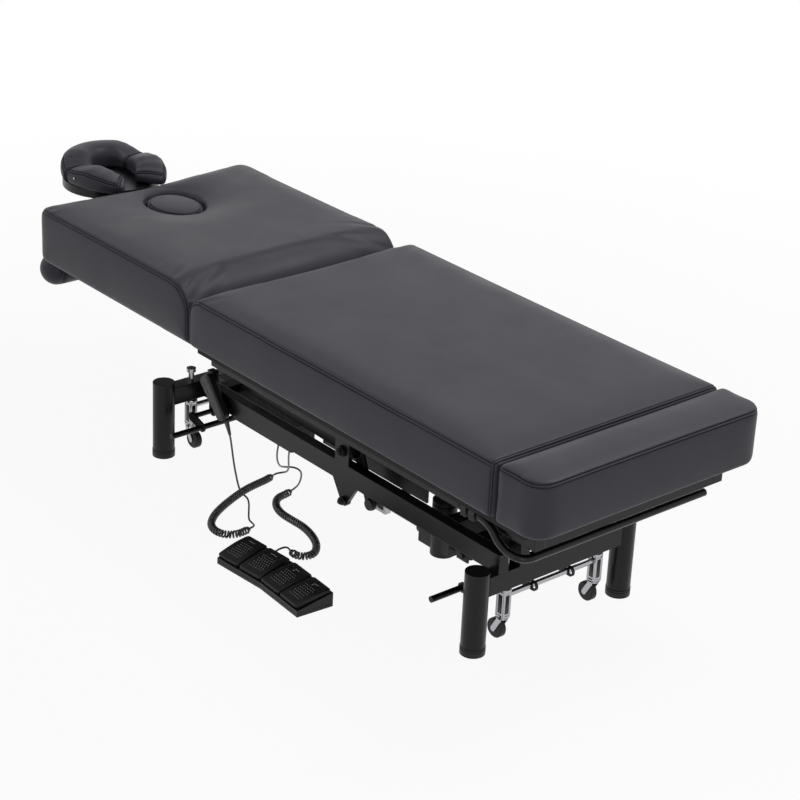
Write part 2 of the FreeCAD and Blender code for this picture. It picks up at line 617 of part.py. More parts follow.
def lift_arms():
    """The two pairs of parallel arms; the head pair also has the levers and their cross shaft."""
    bore = PIVOT_RADIUS + PIN_CLEARANCE
    head_x = HEAD_ARM_END_X
    y0, y1 = -HEAD_ARM_Y - ARM_WIDTH / 2, -HEAD_ARM_Y + ARM_WIDTH / 2
    arm = link(LIFT_PIVOT_X, LIFT_PIVOT_Z, head_x, BED_PIVOT_Z, ARM_HALF_DEPTH, y0, y1)
    lever_y0 = -HEAD_ARM_Y - LEVER_THICK / 2
    lever = link(LIFT_PIVOT_X, LIFT_PIVOT_Z, SHAFT_X, SHAFT_Z, LEVER_END_RADIUS,
                 lever_y0, lever_y0 + LEVER_THICK)
    holes = [rod_y(LIFT_PIVOT_X, LIFT_PIVOT_Z, y0 - CUT_OVERRUN, y1 + CUT_OVERRUN, bore),
             rod_y(head_x, BED_PIVOT_Z, y0 - CUT_OVERRUN, y1 + CUT_OVERRUN, bore),
             rod_y(SHAFT_X, SHAFT_Z, y0, y1, bore)]
    save("head_lift_arms", both_sides(cut(fuse([arm, lever]), holes)))
    shaft_half = -lever_y0
    shaft = fuse([
        rod_y(SHAFT_X, SHAFT_Z, -shaft_half, shaft_half, PIVOT_RADIUS),
        rod_y(SHAFT_X, SHAFT_Z, -shaft_half - PIVOT_HEAD_THICK, -shaft_half, PIVOT_HEAD_RADIUS),
        rod_y(SHAFT_X, SHAFT_Z, shaft_half, shaft_half + PIVOT_HEAD_THICK, PIVOT_HEAD_RADIUS),
    ])
    save("head_lift_arms", shaft)
    foot_end_x = FOOT_PIVOT_X - ARM_REACH
    y0, y1 = -FOOT_ARM_Y - ARM_WIDTH / 2, -FOOT_ARM_Y + ARM_WIDTH / 2
    arm = link(FOOT_PIVOT_X, LIFT_PIVOT_Z, foot_end_x, BED_PIVOT_Z, ARM_HALF_DEPTH, y0, y1)
    holes = [rod_y(FOOT_PIVOT_X, LIFT_PIVOT_Z, y0 - CUT_OVERRUN, y1 + CUT_OVERRUN, bore),
             rod_y(foot_end_x, BED_PIVOT_Z, y0 - CUT_OVERRUN, y1 + CUT_OVERRUN,
                   PIVOT_RADIUS + OPEN_PIVOT_CLEARANCE)]
    save("foot_lift_arms", both_sides(cut(arm, holes)))


def lift_actuator():
    """The lift motor and its push rod, lying along the near rail."""
    y, z = ACTUATOR_Y, ACTUATOR_Z
    gear = block(ACTUATOR_GEAR_START_X, ACTUATOR_GEAR_END_X, y - ACTUATOR_GEAR_HALF_Y,
                 y + ACTUATOR_GEAR_HALF_Y, z - ACTUATOR_GEAR_HALF_Z, z + ACTUATOR_GEAR_HALF_Z)
    ring_z = MOTOR_TOP_Z - MOTOR_RING_DROP
    can = fuse([
        rod_z(MOTOR_X, y, MOTOR_BOTTOM_Z, ring_z, MOTOR_RADIUS),
        rod_z(MOTOR_X, y, ring_z, ring_z + MOTOR_RING_HEIGHT, MOTOR_RADIUS - MOTOR_RING_DEPTH),
        rod_z(MOTOR_X, y, ring_z + MOTOR_RING_HEIGHT, MOTOR_TOP_Z, MOTOR_RADIUS),
    ])
    tail = rod_x(ACTUATOR_GEAR_END_X, MOTOR_TIE_X + ACTUATOR_TAIL_RADIUS, y, z, ACTUATOR_TAIL_RADIUS)
    pin_hole = rod_y(MOTOR_TIE_X, z, y - ACTUATOR_TAIL_RADIUS - CUT_OVERRUN,
                     y + ACTUATOR_TAIL_RADIUS + CUT_OVERRUN, BOLT_RADIUS + PIN_CLEARANCE)
    bore = rod_x(ACTUATOR_GEAR_START_X - CUT_OVERRUN, MOTOR_X, y, z,
                 ACTUATOR_ROD_RADIUS + PIN_CLEARANCE)
    save("lift_actuator", cut(fuse([gear, can, tail]), [pin_hole, bore]))
    sleeve = cut(rod_x(ACTUATOR_TUBE_START_X, ACTUATOR_GEAR_START_X, y, z, ACTUATOR_TUBE_RADIUS),
                 [rod_x(ACTUATOR_TUBE_START_X - CUT_OVERRUN, ACTUATOR_GEAR_START_X + CUT_OVERRUN,
                        y, z, ACTUATOR_ROD_RADIUS + PIN_CLEARANCE)])
    save("lift_actuator", sleeve)
    bracket_half = ACTUATOR_TAIL_RADIUS + SIDE_GAP
    cheeks = []
    for side in (-1, 1):
        inner = y + side * bracket_half
        outer = inner + side * PEDAL_HANGER_THICK
        cheeks.append(block(MOTOR_TIE_X - TIE_WIDTH / 2, MOTOR_TIE_X + TIE_WIDTH / 2,
                            min(inner, outer), max(inner, outer), z - ACTUATOR_TAIL_RADIUS, BEAM_TOP))
    bolt = rod_y(MOTOR_TIE_X, z, y - bracket_half - PEDAL_HANGER_THICK,
                 y + bracket_half + PEDAL_HANGER_THICK, BOLT_RADIUS)
    head = rod_y(MOTOR_TIE_X, z, y - bracket_half - PEDAL_HANGER_THICK - BOLT_HEAD_THICK,
                 y - bracket_half - PEDAL_HANGER_THICK, BOLT_HEAD_RADIUS)
    hole = rod_y(MOTOR_TIE_X, z, y - bracket_half * 2, y + bracket_half * 2,
                 BOLT_RADIUS + PIN_CLEARANCE)
    save("base_ties", [cut(cheek, [hole]) for cheek in cheeks])
    save("base_ties", fuse([bolt, head]))
    slot_half = PIVOT_RADIUS + OPEN_PIVOT_CLEARANCE + SHAFT_RISE / 2
    eye_half = slot_half + ACTUATOR_EYE_WALL
    eye_x = PIVOT_RADIUS + SIDE_GAP + ACTUATOR_EYE_WALL
    y0, y1 = y - ACTUATOR_EYE_THICK / 2, y + ACTUATOR_EYE_THICK / 2
    eye = block(SHAFT_X - eye_x, SHAFT_X + eye_x, y0, y1, z - eye_half, z + eye_half)
    slot = block(SHAFT_X - PIVOT_RADIUS - SIDE_GAP, SHAFT_X + PIVOT_RADIUS + SIDE_GAP,
                 y0 - CUT_OVERRUN, y1 + CUT_OVERRUN, z - slot_half, z + slot_half)
    push_rod = rod_x(SHAFT_X + eye_x, ACTUATOR_GEAR_START_X + ROD_INSIDE, y, z, ACTUATOR_ROD_RADIUS)
    save("lift_push_rod", [cut(eye, [slot]).fuse(push_rod)])


def bed_frame():
    """The moving frame under the seat: chassis rails, uprights, side rails and cross tubes."""
    pieces = []
    pin_hole = PIVOT_RADIUS + PIN_CLEARANCE
    head_x = HEAD_ARM_END_X
    foot_x = FOOT_PIVOT_X - ARM_REACH
    y0, y1 = -CHASSIS_OUTER_Y, -CHASSIS_INNER_Y
    chassis = block(CHASSIS_HEAD_X, CHASSIS_FOOT_X, y0, y1, CHASSIS_BOTTOM, CHASSIS_TOP)
    chassis = cut(chassis, [rod_y(x, BED_PIVOT_Z, y0 - CUT_OVERRUN, y1 + CUT_OVERRUN, pin_hole)
                            for x in (head_x, foot_x)])
    save("chassis_rails", both_sides(chassis))
    save("chassis_rails", block(APRON_HEAD_X, APRON_FOOT_X, y1 - APRON_THICK, y1, APRON_BOTTOM,
                                CHASSIS_BOTTOM))
    half = BED_CROSS_WIDTH / 2
    for x in BED_CROSS_XS:
        upright = block(x - half, x + half, y0, y1, CHASSIS_TOP, BED_RAIL_BOTTOM)
        pieces += both_sides(upright)
    save("bed_frame", pieces)
    crosses = []
    for x in BED_CROSS_XS:
        inner = BED_CROSS_GAP_HALF_Y if x < BACK_GEAR_START_X else 0
        outer = BED_RAIL_INNER_Y - (HINGE_PLATE_THICK if x < HINGE_BRACKET_FOOT_X else 0)
        tube = block(x - half, x + half, -outer, -inner, BED_RAIL_BOTTOM, BED_RAIL_TOP)
        crosses += both_sides(tube) if inner else [fuse(both_sides(tube))]
    crosses.append(block(BED_FOOT_CROSS_X - half, BED_FOOT_CROSS_X + half,
                         -BED_RAIL_INNER_Y, BED_RAIL_INNER_Y, BED_RAIL_BOTTOM, BED_RAIL_TOP))
    save("bed_frame", crosses)
    rail = block(BED_RAIL_HEAD_X, BED_RAIL_FOOT_X, -BED_RAIL_OUTER_Y, -BED_RAIL_INNER_Y,
                 BED_RAIL_BOTTOM, BED_RAIL_TOP)
    save("bed_frame", both_sides(rail))
    outer_pin = fuse([
        rod_y(head_x, BED_PIVOT_Z, -HEAD_ARM_Y - ARM_WIDTH / 2 - SEAT_GAP - PIVOT_HEAD_THICK,
              -HEAD_ARM_Y - ARM_WIDTH / 2 - SEAT_GAP, PIVOT_HEAD_RADIUS),
        rod_y(head_x, BED_PIVOT_Z, -HEAD_ARM_Y - ARM_WIDTH / 2 - SEAT_GAP, y1, PIVOT_RADIUS),
    ])
    inner_pin = fuse([
        rod_y(foot_x, BED_PIVOT_Z, y0, -FOOT_ARM_Y + ARM_WIDTH / 2 + SEAT_GAP, PIVOT_RADIUS),
        rod_y(foot_x, BED_PIVOT_Z, -FOOT_ARM_Y + ARM_WIDTH / 2 + SEAT_GAP,
              -FOOT_ARM_Y + ARM_WIDTH / 2 + SEAT_GAP + PIVOT_HEAD_THICK, PIVOT_HEAD_RADIUS),
    ])
    save("chassis_rails", both_sides(outer_pin) + both_sides(inner_pin))
    board = block(SEAT_HEAD_X, BED_RAIL_FOOT_X, -SEAT_HALF_WIDTH + SEAT_BOARD_INSET,
                  SEAT_HALF_WIDTH - SEAT_BOARD_INSET, BED_RAIL_TOP, SEAT_BOTTOM_Z)
    save("seat_board", board)


def round_inset(radius, below_top):
    """How far a rounded top edge has drawn in at this depth below the top."""
    if below_top >= radius:
        return 0
    return radius - math.sqrt(radius ** 2 - (radius - below_top) ** 2)


def plan_wire(x0, x1, half_width, z, head_corner, foot_corner, draw):
    """The plan outline of a cushion: rounded corners and sides drawn in between them."""
    def corner(cx, cy, radius, start_deg):
        points = []
        for step in (0, 45, 90):
            turn = math.radians(start_deg + step)
            points.append(Vector(cx + radius * math.cos(turn), cy + radius * math.sin(turn), z))
        return points

    arcs = [
        corner(x1 - foot_corner, half_width - foot_corner, foot_corner, 0),
        corner(x0 + head_corner, half_width - head_corner, head_corner, 90),
        corner(x0 + head_corner, -half_width + head_corner, head_corner, 180),
        corner(x1 - foot_corner, -half_width + foot_corner, foot_corner, 270),
    ]
    inward = [Vector(0, -1, 0), Vector(1, 0, 0), Vector(0, 1, 0), Vector(-1, 0, 0)]
    edges = []
    for i, points in enumerate(arcs):
        following = arcs[(i + 1) % len(arcs)]
        edges.append(arc_through(*points))
        middle = (points[-1] + following[0]) / 2 + inward[i] * draw
        edges.append(arc_through(points[-1], middle, following[0]))
    return Part.Wire(edges)


def cushion(x0, x1, half_width, z0, z1, head_radius, foot_radius, head_corner, foot_corner):
    """A crowned cushion, lofted from its bottom to its top through plan outlines."""
    tuck = CUSHION_BOTTOM_TUCK
    wires = [
        plan_wire(x0 + tuck, x1 - tuck, half_width - tuck, z0, head_corner, foot_corner,
                  CUSHION_SIDE_DRAW),
        plan_wire(x0, x1, half_width, z0 + tuck, head_corner, foot_corner, CUSHION_SIDE_DRAW),
    ]
    largest = max(head_radius, foot_radius)
    for share in CUSHION_LEVEL_SHARES:
        drop = largest * share
        head, foot = round_inset(head_radius, drop), round_inset(foot_radius, drop)
        side = round_inset(CUSHION_EDGE_RADIUS, drop)
        wires.append(plan_wire(x0 + head, x1 - foot, half_width - side, z1 - drop,
                               head_corner, foot_corner, CUSHION_SIDE_DRAW))
    top0, top1, top_half = x0 + head_radius, x1 - foot_radius, half_width - CUSHION_EDGE_RADIUS
    middle, reach = (top0 + top1) / 2, (top1 - top0) / 2
    for share in CUSHION_CROWN_SHARES:
        wires.append(plan_wire(middle - reach * share, middle + reach * share, top_half * share,
                               z1 + CUSHION_CROWN * (1 - share ** 2),
                               head_corner * share, foot_corner * share, CUSHION_SIDE_DRAW * share))
    return Part.makeLoft(wires, True, True)


def oval_wire(x, half_x, half_y, z):
    """An oval of four arcs, its long axis along the table."""
    points = []
    for step in range(8):
        turn = math.radians(step * 45)
        points.append(Vector(x + half_x * math.cos(turn), half_y * math.sin(turn), z))
    edges = [arc_through(points[i], points[i + 1], points[(i + 2) % 8]) for i in range(0, 8, 2)]
    return Part.Wire(edges)


def oval_prism(x, half_x, half_y, z0, z1):
    """An upright oval prism."""
    return Part.Face(oval_wire(x, half_x, half_y, z0)).extrude(Vector(0, 0, z1 - z0))


def cushions():
    """Seat, foot and back cushions, and the plug in the breathing hole."""
    high = SEAT_TOP_Z + CUSHION_CROWN * 4
    save("seat_cushion", cushion(SEAT_HEAD_X, SEAT_FOOT_X, SEAT_HALF_WIDTH, SEAT_BOTTOM_Z, SEAT_TOP_Z,
                                 SEAT_HEAD_EDGE_RADIUS, SEAT_FOOT_EDGE_RADIUS,
                                 CUSHION_CORNER_RADIUS, CUSHION_CORNER_RADIUS))
    save("foot_cushion", cushion(FOOT_HEAD_X, FOOT_END_X, SEAT_HALF_WIDTH, SEAT_BOTTOM_Z, SEAT_TOP_Z,
                                 SEAT_FOOT_EDGE_RADIUS, CUSHION_EDGE_RADIUS,
                                 CUSHION_CORNER_RADIUS, FOOT_CORNER_RADIUS))
    back = cushion(BACK_HEAD_X, BACK_FOOT_X, BACK_HALF_WIDTH, BACK_BOTTOM_Z, BACK_TOP_Z,
                   CUSHION_CORNER_RADIUS, BACK_NOSE_RADIUS, CUSHION_CORNER_RADIUS,
                   CUSHION_CORNER_RADIUS)
    notch = block(TILT_X - HINGE_BOSS_RADIUS - SIDE_GAP, BACK_FOOT_X + CUT_OVERRUN,
                  -HINGE_EAR_Y + HINGE_PLATE_THICK / 2 - HINGE_SLOT_HALF_WIDTH,
                  -HINGE_EAR_Y + HINGE_PLATE_THICK / 2 + HINGE_SLOT_HALF_WIDTH,
                  BACK_BOTTOM_Z - CUT_OVERRUN, TILT_Z + HINGE_BOSS_RADIUS + SIDE_GAP)
    hole = oval_prism(FACE_HOLE_X, FACE_HOLE_HALF_X, FACE_HOLE_HALF_Y, BACK_BOTTOM_Z - CUT_OVERRUN, high)
    sockets = [rod_x(BACK_HEAD_X - CUT_OVERRUN, BACK_HEAD_X + SOCKET_DEPTH, y, SOCKET_Z,
                     SOCKET_RADIUS + PIN_CLEARANCE) for y in (-SOCKET_Y, SOCKET_Y)]
    back = cut(back, both_sides(notch) + [hole] + sockets)
    save("back_cushion", back)
    plug_half_x = FACE_HOLE_HALF_X - PLUG_SIDE_CLEARANCE
    plug_half_y = FACE_HOLE_HALF_Y - PLUG_SIDE_CLEARANCE
    low, top = BACK_BOTTOM_Z + SEAT_GAP, BACK_TOP_Z + CUSHION_CROWN - PLUG_RECESS
    wires = [
        oval_wire(FACE_HOLE_X, plug_half_x, plug_half_y, low),
        oval_wire(FACE_HOLE_X, plug_half_x, plug_half_y, top - PLUG_CROWN),
        oval_wire(FACE_HOLE_X, plug_half_x - PLUG_CROWN, plug_half_y - PLUG_CROWN,
                  top - PLUG_CROWN / 3),
        oval_wire(FACE_HOLE_X, plug_half_x / 2, plug_half_y / 2, top),
    ]
    plug = Part.makeLoft(wires, True, True)
    save("face_plug", plug)


def back_section():
    """Frame, board, hinge ears and crank of the tilting back, and the brackets that carry it."""
    hole = oval_prism(FACE_HOLE_X, FACE_HOLE_HALF_X - PLUG_LEDGE_INSET,
                      FACE_HOLE_HALF_Y - PLUG_LEDGE_INSET,
                      BACK_BOARD_BOTTOM - CUT_OVERRUN, BACK_BOTTOM_Z + CUT_OVERRUN)
    board = block(BACK_HEAD_X + BACK_BOARD_INSET / 2, BACK_BOARD_FOOT_X,
                  -BACK_HALF_WIDTH + BACK_BOARD_INSET, BACK_HALF_WIDTH - BACK_BOARD_INSET,
                  BACK_BOARD_BOTTOM, BACK_BOTTOM_Z)
    save("back_board", cut(board, [hole]))
    half = BACK_RAIL_SIZE / 2
    rail_bottom = BACK_BOARD_BOTTOM - BACK_RAIL_SIZE
    rail = block(BACK_RAIL_HEAD_X, BACK_RAIL_FOOT_X, -BACK_RAIL_Y - half, -BACK_RAIL_Y + half,
                 rail_bottom, BACK_BOARD_BOTTOM)
    inner = BACK_RAIL_Y - half
    crosses = [block(x - half, x + half, -inner, inner, rail_bottom, BACK_BOARD_BOTTOM)
               for x in BACK_CROSS_XS]
    save("back_frame", fuse(both_sides(rail) + crosses))
    y0, y1 = -HINGE_EAR_Y - HINGE_PLATE_THICK / 2, -HINGE_EAR_Y + HINGE_PLATE_THICK / 2
    pin_bore = HINGE_PIN_RADIUS + PIN_CLEARANCE
    ear = fuse([
        rod_y(TILT_X, TILT_Z, y0, y1, HINGE_BOSS_RADIUS),
        plate_xz([(TILT_X - HINGE_BOSS_RADIUS, TILT_Z), (TILT_X, TILT_Z),
                  (TILT_X, rail_bottom), (TILT_X - HINGE_BOSS_RADIUS, rail_bottom)], y0, y1),
        block(BACK_RAIL_FOOT_X - BACK_RAIL_SIZE * 4, TILT_X - HINGE_BOSS_RADIUS, y0, y1,
              rail_bottom, BACK_BOARD_BOTTOM),
    ])
    ear = cut(ear, [rod_y(TILT_X, TILT_Z, y0 - CUT_OVERRUN, y1 + CUT_OVERRUN, pin_bore)])
    save("back_frame", both_sides(ear))
    y0, y1 = -HINGE_BRACKET_Y - HINGE_PLATE_THICK / 2, -HINGE_BRACKET_Y + HINGE_PLATE_THICK / 2
    bracket = fuse([
        rod_y(TILT_X, TILT_Z, y0, y1, HINGE_BOSS_RADIUS),
        plate_xz([(TILT_X - HINGE_BOSS_RADIUS, TILT_Z), (TILT_X + HINGE_BOSS_RADIUS, TILT_Z),
                  (TILT_X + HINGE_BOSS_RADIUS, BED_RAIL_TOP), (HINGE_BRACKET_FOOT_X, BED_RAIL_TOP),
                  (HINGE_BRACKET_FOOT_X, BED_RAIL_BOTTOM),
                  (TILT_X - HINGE_BOSS_RADIUS, BED_RAIL_BOTTOM)], y0, y1),
    ])
    bracket = cut(bracket, [rod_y(TILT_X, TILT_Z, y0 - CUT_OVERRUN, y1 + CUT_OVERRUN, pin_bore)])
    save("back_hinge_brackets", both_sides(bracket))
    pin_outer = -HINGE_EAR_Y - HINGE_PLATE_THICK / 2
    pin_inner = -HINGE_BRACKET_Y + HINGE_PLATE_THICK / 2
    save("back_hinge_brackets", both_sides(rod_y(TILT_X, TILT_Z, pin_outer, pin_inner, HINGE_PIN_RADIUS)))
    y_out = BACK_ACTUATOR_EYE_THICK / 2 + SIDE_GAP
    crank_top_x = BACK_CROSS_XS[-1]
    cheeks = []
    for side in (-1, 1):
        a, b = side * y_out, side * (y_out + CRANK_THICK)
        cheek = link(crank_top_x, rail_bottom, CRANK_PIN_X, CRANK_PIN_Z, CRANK_END_RADIUS,
                     min(a, b), max(a, b))
        top_cut = block(crank_top_x - BACK_RAIL_SIZE * 2, CRANK_PIN_X + BACK_RAIL_SIZE,
                        min(a, b) - CUT_OVERRUN, max(a, b) + CUT_OVERRUN,
                        rail_bottom, BACK_TOP_Z)
        keep = cheek.cut(top_cut) if CRANK_PIN_Z < rail_bottom else cheek
        cheeks.append(keep)
    crank_pin = rod_y(CRANK_PIN_X, CRANK_PIN_Z, -y_out - CRANK_THICK, y_out + CRANK_THICK,
                      CRANK_PIN_RADIUS)
    save("back_frame", fuse(cheeks + [crank_pin]))


def back_actuator():
    """The motor that tilts the back, hung between the bed frame's cross tubes."""
    z = BACK_ACTUATOR_Z
    gear = block(BACK_GEAR_START_X, BACK_GEAR_END_X, -BACK_GEAR_HALF_Y, BACK_GEAR_HALF_Y,
                 z - BACK_GEAR_HALF_Z, z + BACK_GEAR_HALF_Z)
    can = rod_z(BACK_MOTOR_X, 0, BACK_MOTOR_BOTTOM_Z, z, BACK_MOTOR_RADIUS)
    tail = rod_x(BACK_GEAR_END_X, BED_CROSS_XS[1] - BED_CROSS_WIDTH / 2, 0, z, CRANK_END_RADIUS)
    bore = rod_x(BACK_GEAR_START_X - CUT_OVERRUN, BACK_MOTOR_X, 0, z, BACK_ROD_RADIUS + PIN_CLEARANCE)
    save("back_actuator", cut(fuse([gear, can, tail]), [bore]))
    sleeve = cut(rod_x(BACK_TUBE_START_X, BACK_GEAR_START_X, 0, z, BACK_TUBE_RADIUS),
                 [rod_x(BACK_TUBE_START_X - CUT_OVERRUN, BACK_GEAR_START_X + CUT_OVERRUN, 0, z,
                        BACK_ROD_RADIUS + PIN_CLEARANCE)])
    save("back_actuator", sleeve)
    slot_half = CRANK_PIN_RADIUS + OPEN_PIVOT_CLEARANCE + CRANK_RISE / 2
    eye_half = slot_half + ACTUATOR_EYE_WALL
    eye_x = CRANK_PIN_RADIUS + SIDE_GAP + ACTUATOR_EYE_WALL
    y1 = BACK_ACTUATOR_EYE_THICK / 2
    eye = block(CRANK_PIN_X - eye_x, CRANK_PIN_X + eye_x, -y1, y1, z - eye_half, z + eye_half)
    slot = block(CRANK_PIN_X - CRANK_PIN_RADIUS - SIDE_GAP, CRANK_PIN_X + CRANK_PIN_RADIUS + SIDE_GAP,
                 -y1 - CUT_OVERRUN, y1 + CUT_OVERRUN, z - slot_half, z + slot_half)
    push_rod = rod_x(CRANK_PIN_X + eye_x, BACK_GEAR_START_X + ROD_INSIDE, 0, z, BACK_ROD_RADIUS)
    save("back_push_rod", [cut(eye, [slot]).fuse(push_rod)])


def bolster():
    """The arm roll with ball ends, and the straps that carry it past the head end."""
    strap_bottom = BACK_BOARD_BOTTOM - BOLSTER_STRAP_THICK
    z = strap_bottom - BOLSTER_RADIUS - SEAT_GAP
    roll = [rod_y(BOLSTER_X, z, -BOLSTER_HALF_LENGTH, BOLSTER_HALF_LENGTH, BOLSTER_RADIUS)]
    for y in (-BOLSTER_HALF_LENGTH, BOLSTER_HALF_LENGTH):
        roll.append(Part.makeSphere(BOLSTER_RADIUS, Vector(BOLSTER_X, y, z), Y_AXIS))
    save("arm_bolster", fuse(roll))
    strap = block(BOLSTER_X - BOLSTER_STRAP_HALF, BOLSTER_STRAP_FOOT_X,
                  -BOLSTER_STRAP_Y - BOLSTER_STRAP_HALF, -BOLSTER_STRAP_Y + BOLSTER_STRAP_HALF,
                  strap_bottom, BACK_BOARD_BOTTOM)
    save("back_frame", both_sides(strap))


def cradle_pad(start_deg, end_deg):
    """A length of the cradle's round pad, flat underneath."""
    turn = math.radians(start_deg)
    centre = Vector(CRADLE_CENTRE_X + CRADLE_RING_RADIUS * math.cos(turn),
                    CRADLE_RING_RADIUS * math.sin(turn), CRADLE_PAD_CENTRE_Z)
    outward = Vector(math.cos(turn), math.sin(turn), 0)
    section = []
    for side in range(CRADLE_PAD_SIDES):
        around = 2 * math.pi * side / CRADLE_PAD_SIDES
        section.append(centre + outward * (CRADLE_PAD_RADIUS * math.cos(around))
                       + Z_AXIS * (CRADLE_PAD_RADIUS * math.sin(around)))
    face = Part.Face(ring(section))
    pad = face.revolve(Vector(CRADLE_CENTRE_X, 0, 0), Z_AXIS, end_deg - start_deg)
    reach = CRADLE_RING_RADIUS + CRADLE_PAD_RADIUS * 2
    under = block(CRADLE_CENTRE_X - reach, CRADLE_CENTRE_X + reach, -reach, reach,
                  CRADLE_PAD_CENTRE_Z - CRADLE_PAD_RADIUS - CUT_OVERRUN,
                  CRADLE_PAD_CENTRE_Z - CRADLE_PAD_FLAT)
    return pad.cut(under)


def cradle():
    """Sockets, sliding posts, tilting platform and its three pads."""
    socket = rod_x(BACK_HEAD_X, BACK_HEAD_X + SOCKET_DEPTH, -SOCKET_Y, SOCKET_Z, SOCKET_RADIUS)
    bore = rod_x(BACK_HEAD_X - CUT_OVERRUN, BACK_HEAD_X + SOCKET_DEPTH + CUT_OVERRUN, -SOCKET_Y,
                 SOCKET_Z, SOCKET_BORE_RADIUS)
    save("cradle_sockets", both_sides(cut(socket, [bore])))
    post = rod_x(CRADLE_CROSS_X, BACK_HEAD_X + POST_INSIDE, -SOCKET_Y, SOCKET_Z, POST_RADIUS)
    reach = SOCKET_Y + CRADLE_CROSS_HALF
    bar = block(CRADLE_CROSS_X - CRADLE_CROSS_HALF, CRADLE_CROSS_X + CRADLE_CROSS_HALF, -reach, reach,
                SOCKET_Z - CRADLE_ARM_HALF, SOCKET_Z + CRADLE_ARM_HALF)
    ear_y = CRADLE_EAR_Y
    ear = fuse([
        block(CRADLE_CROSS_X - CRADLE_ARM_HALF, CRADLE_CROSS_X + CRADLE_ARM_HALF, -ear_y,
              -ear_y + CRADLE_ARM_THICK, SOCKET_Z, CRADLE_PIVOT_Z),
        rod_y(CRADLE_CROSS_X, CRADLE_PIVOT_Z, -ear_y, -ear_y + CRADLE_ARM_THICK, CRADLE_ARM_HALF),
    ])
    pin_room = rod_y(CRADLE_CROSS_X, CRADLE_PIVOT_Z, -reach, reach, LEVER_PIN_RADIUS + PIN_CLEARANCE)
    save("cradle_carrier", cut(fuse(both_sides(post) + [bar] + both_sides(ear)), [pin_room]))
    arm_y = ear_y + CRADLE_ARM_GAP
    arm = link(CRADLE_CROSS_X, CRADLE_PIVOT_Z, CRADLE_ARM_TOP_X, CRADLE_PLATFORM_BOTTOM,
               CRADLE_ARM_HALF, -arm_y - CRADLE_ARM_THICK, -arm_y)
    arm = cut(arm, [block(CRADLE_ARM_TOP_X - CRADLE_ARM_TRIM, CRADLE_ARM_TOP_X + CRADLE_ARM_TRIM,
                          -arm_y - CRADLE_ARM_THICK - CUT_OVERRUN, -arm_y + CUT_OVERRUN,
                          CRADLE_PLATFORM_BOTTOM, CRADLE_PLATFORM_TOP + CUT_OVERRUN)])
    plate = cut(rod_z(CRADLE_CENTRE_X, 0, CRADLE_PLATFORM_BOTTOM, CRADLE_PLATFORM_TOP,
                      CRADLE_PLATFORM_OUTER),
                [rod_z(CRADLE_CENTRE_X, 0, CRADLE_PLATFORM_BOTTOM - CUT_OVERRUN,
                       CRADLE_PLATFORM_TOP + CUT_OVERRUN, CRADLE_PLATFORM_INNER)])
    pins = rod_y(CRADLE_CROSS_X, CRADLE_PIVOT_Z, -arm_y - CRADLE_ARM_THICK, -ear_y, LEVER_PIN_RADIUS)
    save("cradle_platform", fuse(both_sides(arm) + [plate] + both_sides(pins)))
    crest_start = 180 - CRADLE_CREST_HALF_DEG
    save("cradle_pads", cradle_pad(crest_start, 180 + CRADLE_CREST_HALF_DEG))
    save("cradle_pads",
         both_sides(cradle_pad(CRADLE_CHEEK_END_DEG, crest_start - CRADLE_PAD_GAP_DEG)))
    lever_y = -arm_y - CRADLE_ARM_THICK - SEAT_GAP
    lever = link(CRADLE_CROSS_X, CRADLE_PIVOT_Z, CRADLE_CROSS_X - CAM_LEVER_LENGTH,
                 CRADLE_PIVOT_Z + CAM_LEVER_BOSS, CAM_LEVER_HALF, lever_y - CAM_LEVER_THICK, lever_y)
    boss = rod_y(CRADLE_CROSS_X, CRADLE_PIVOT_Z, lever_y - CAM_LEVER_THICK, lever_y, CAM_LEVER_BOSS)
    save("cradle_lever", fuse([lever, boss]))


def routed_wire(points):
    """Straight runs joined by arcs that touch them; also the length and the tightest bend."""
    points = [Vector(*p) for p in points]
    edges, start, length, tightest = [], points[0], 0, None
    for i in range(1, len(points) - 1):
        before, corner, after = points[i - 1], points[i], points[i + 1]
        a, b = corner - before, after - corner
        turn = a.getAngle(b)
        back = CORD_BEND_SHARE * min(a.Length, b.Length)
        radius = back / math.tan(turn / 2)
        a.normalize()
        b.normalize()
        first, last = corner - a * back, corner + b * back
        inward = b - a
        inward.normalize()
        middle = corner + inward * (radius / math.cos(turn / 2) - radius)
        edges.append(line(start, first))
        edges.append(arc_through(first, middle, last))
        length += (first - start).Length + radius * turn
        tightest = radius if tightest is None else min(tightest, radius)
        start = last
    edges.append(line(start, points[-1]))
    length += (points[-1] - start).Length
    return Part.Wire(edges), length, tightest


def tube(points, radius, label):
    """A round tube along a route."""
    wire, length, tightest = routed_wire(points)
    start = Vector(*points[0])
    circle = Part.makeCircle(radius, start, Vector(*points[1]) - start)
    solid = wire.makePipeShell([Part.Wire([circle])], True, False)
    print(label, "length %.1f" % length, "tightest bend %.1f" % tightest,
          "volume share %.4f" % (solid.Volume / (math.pi * radius ** 2 * length)))
    return solid


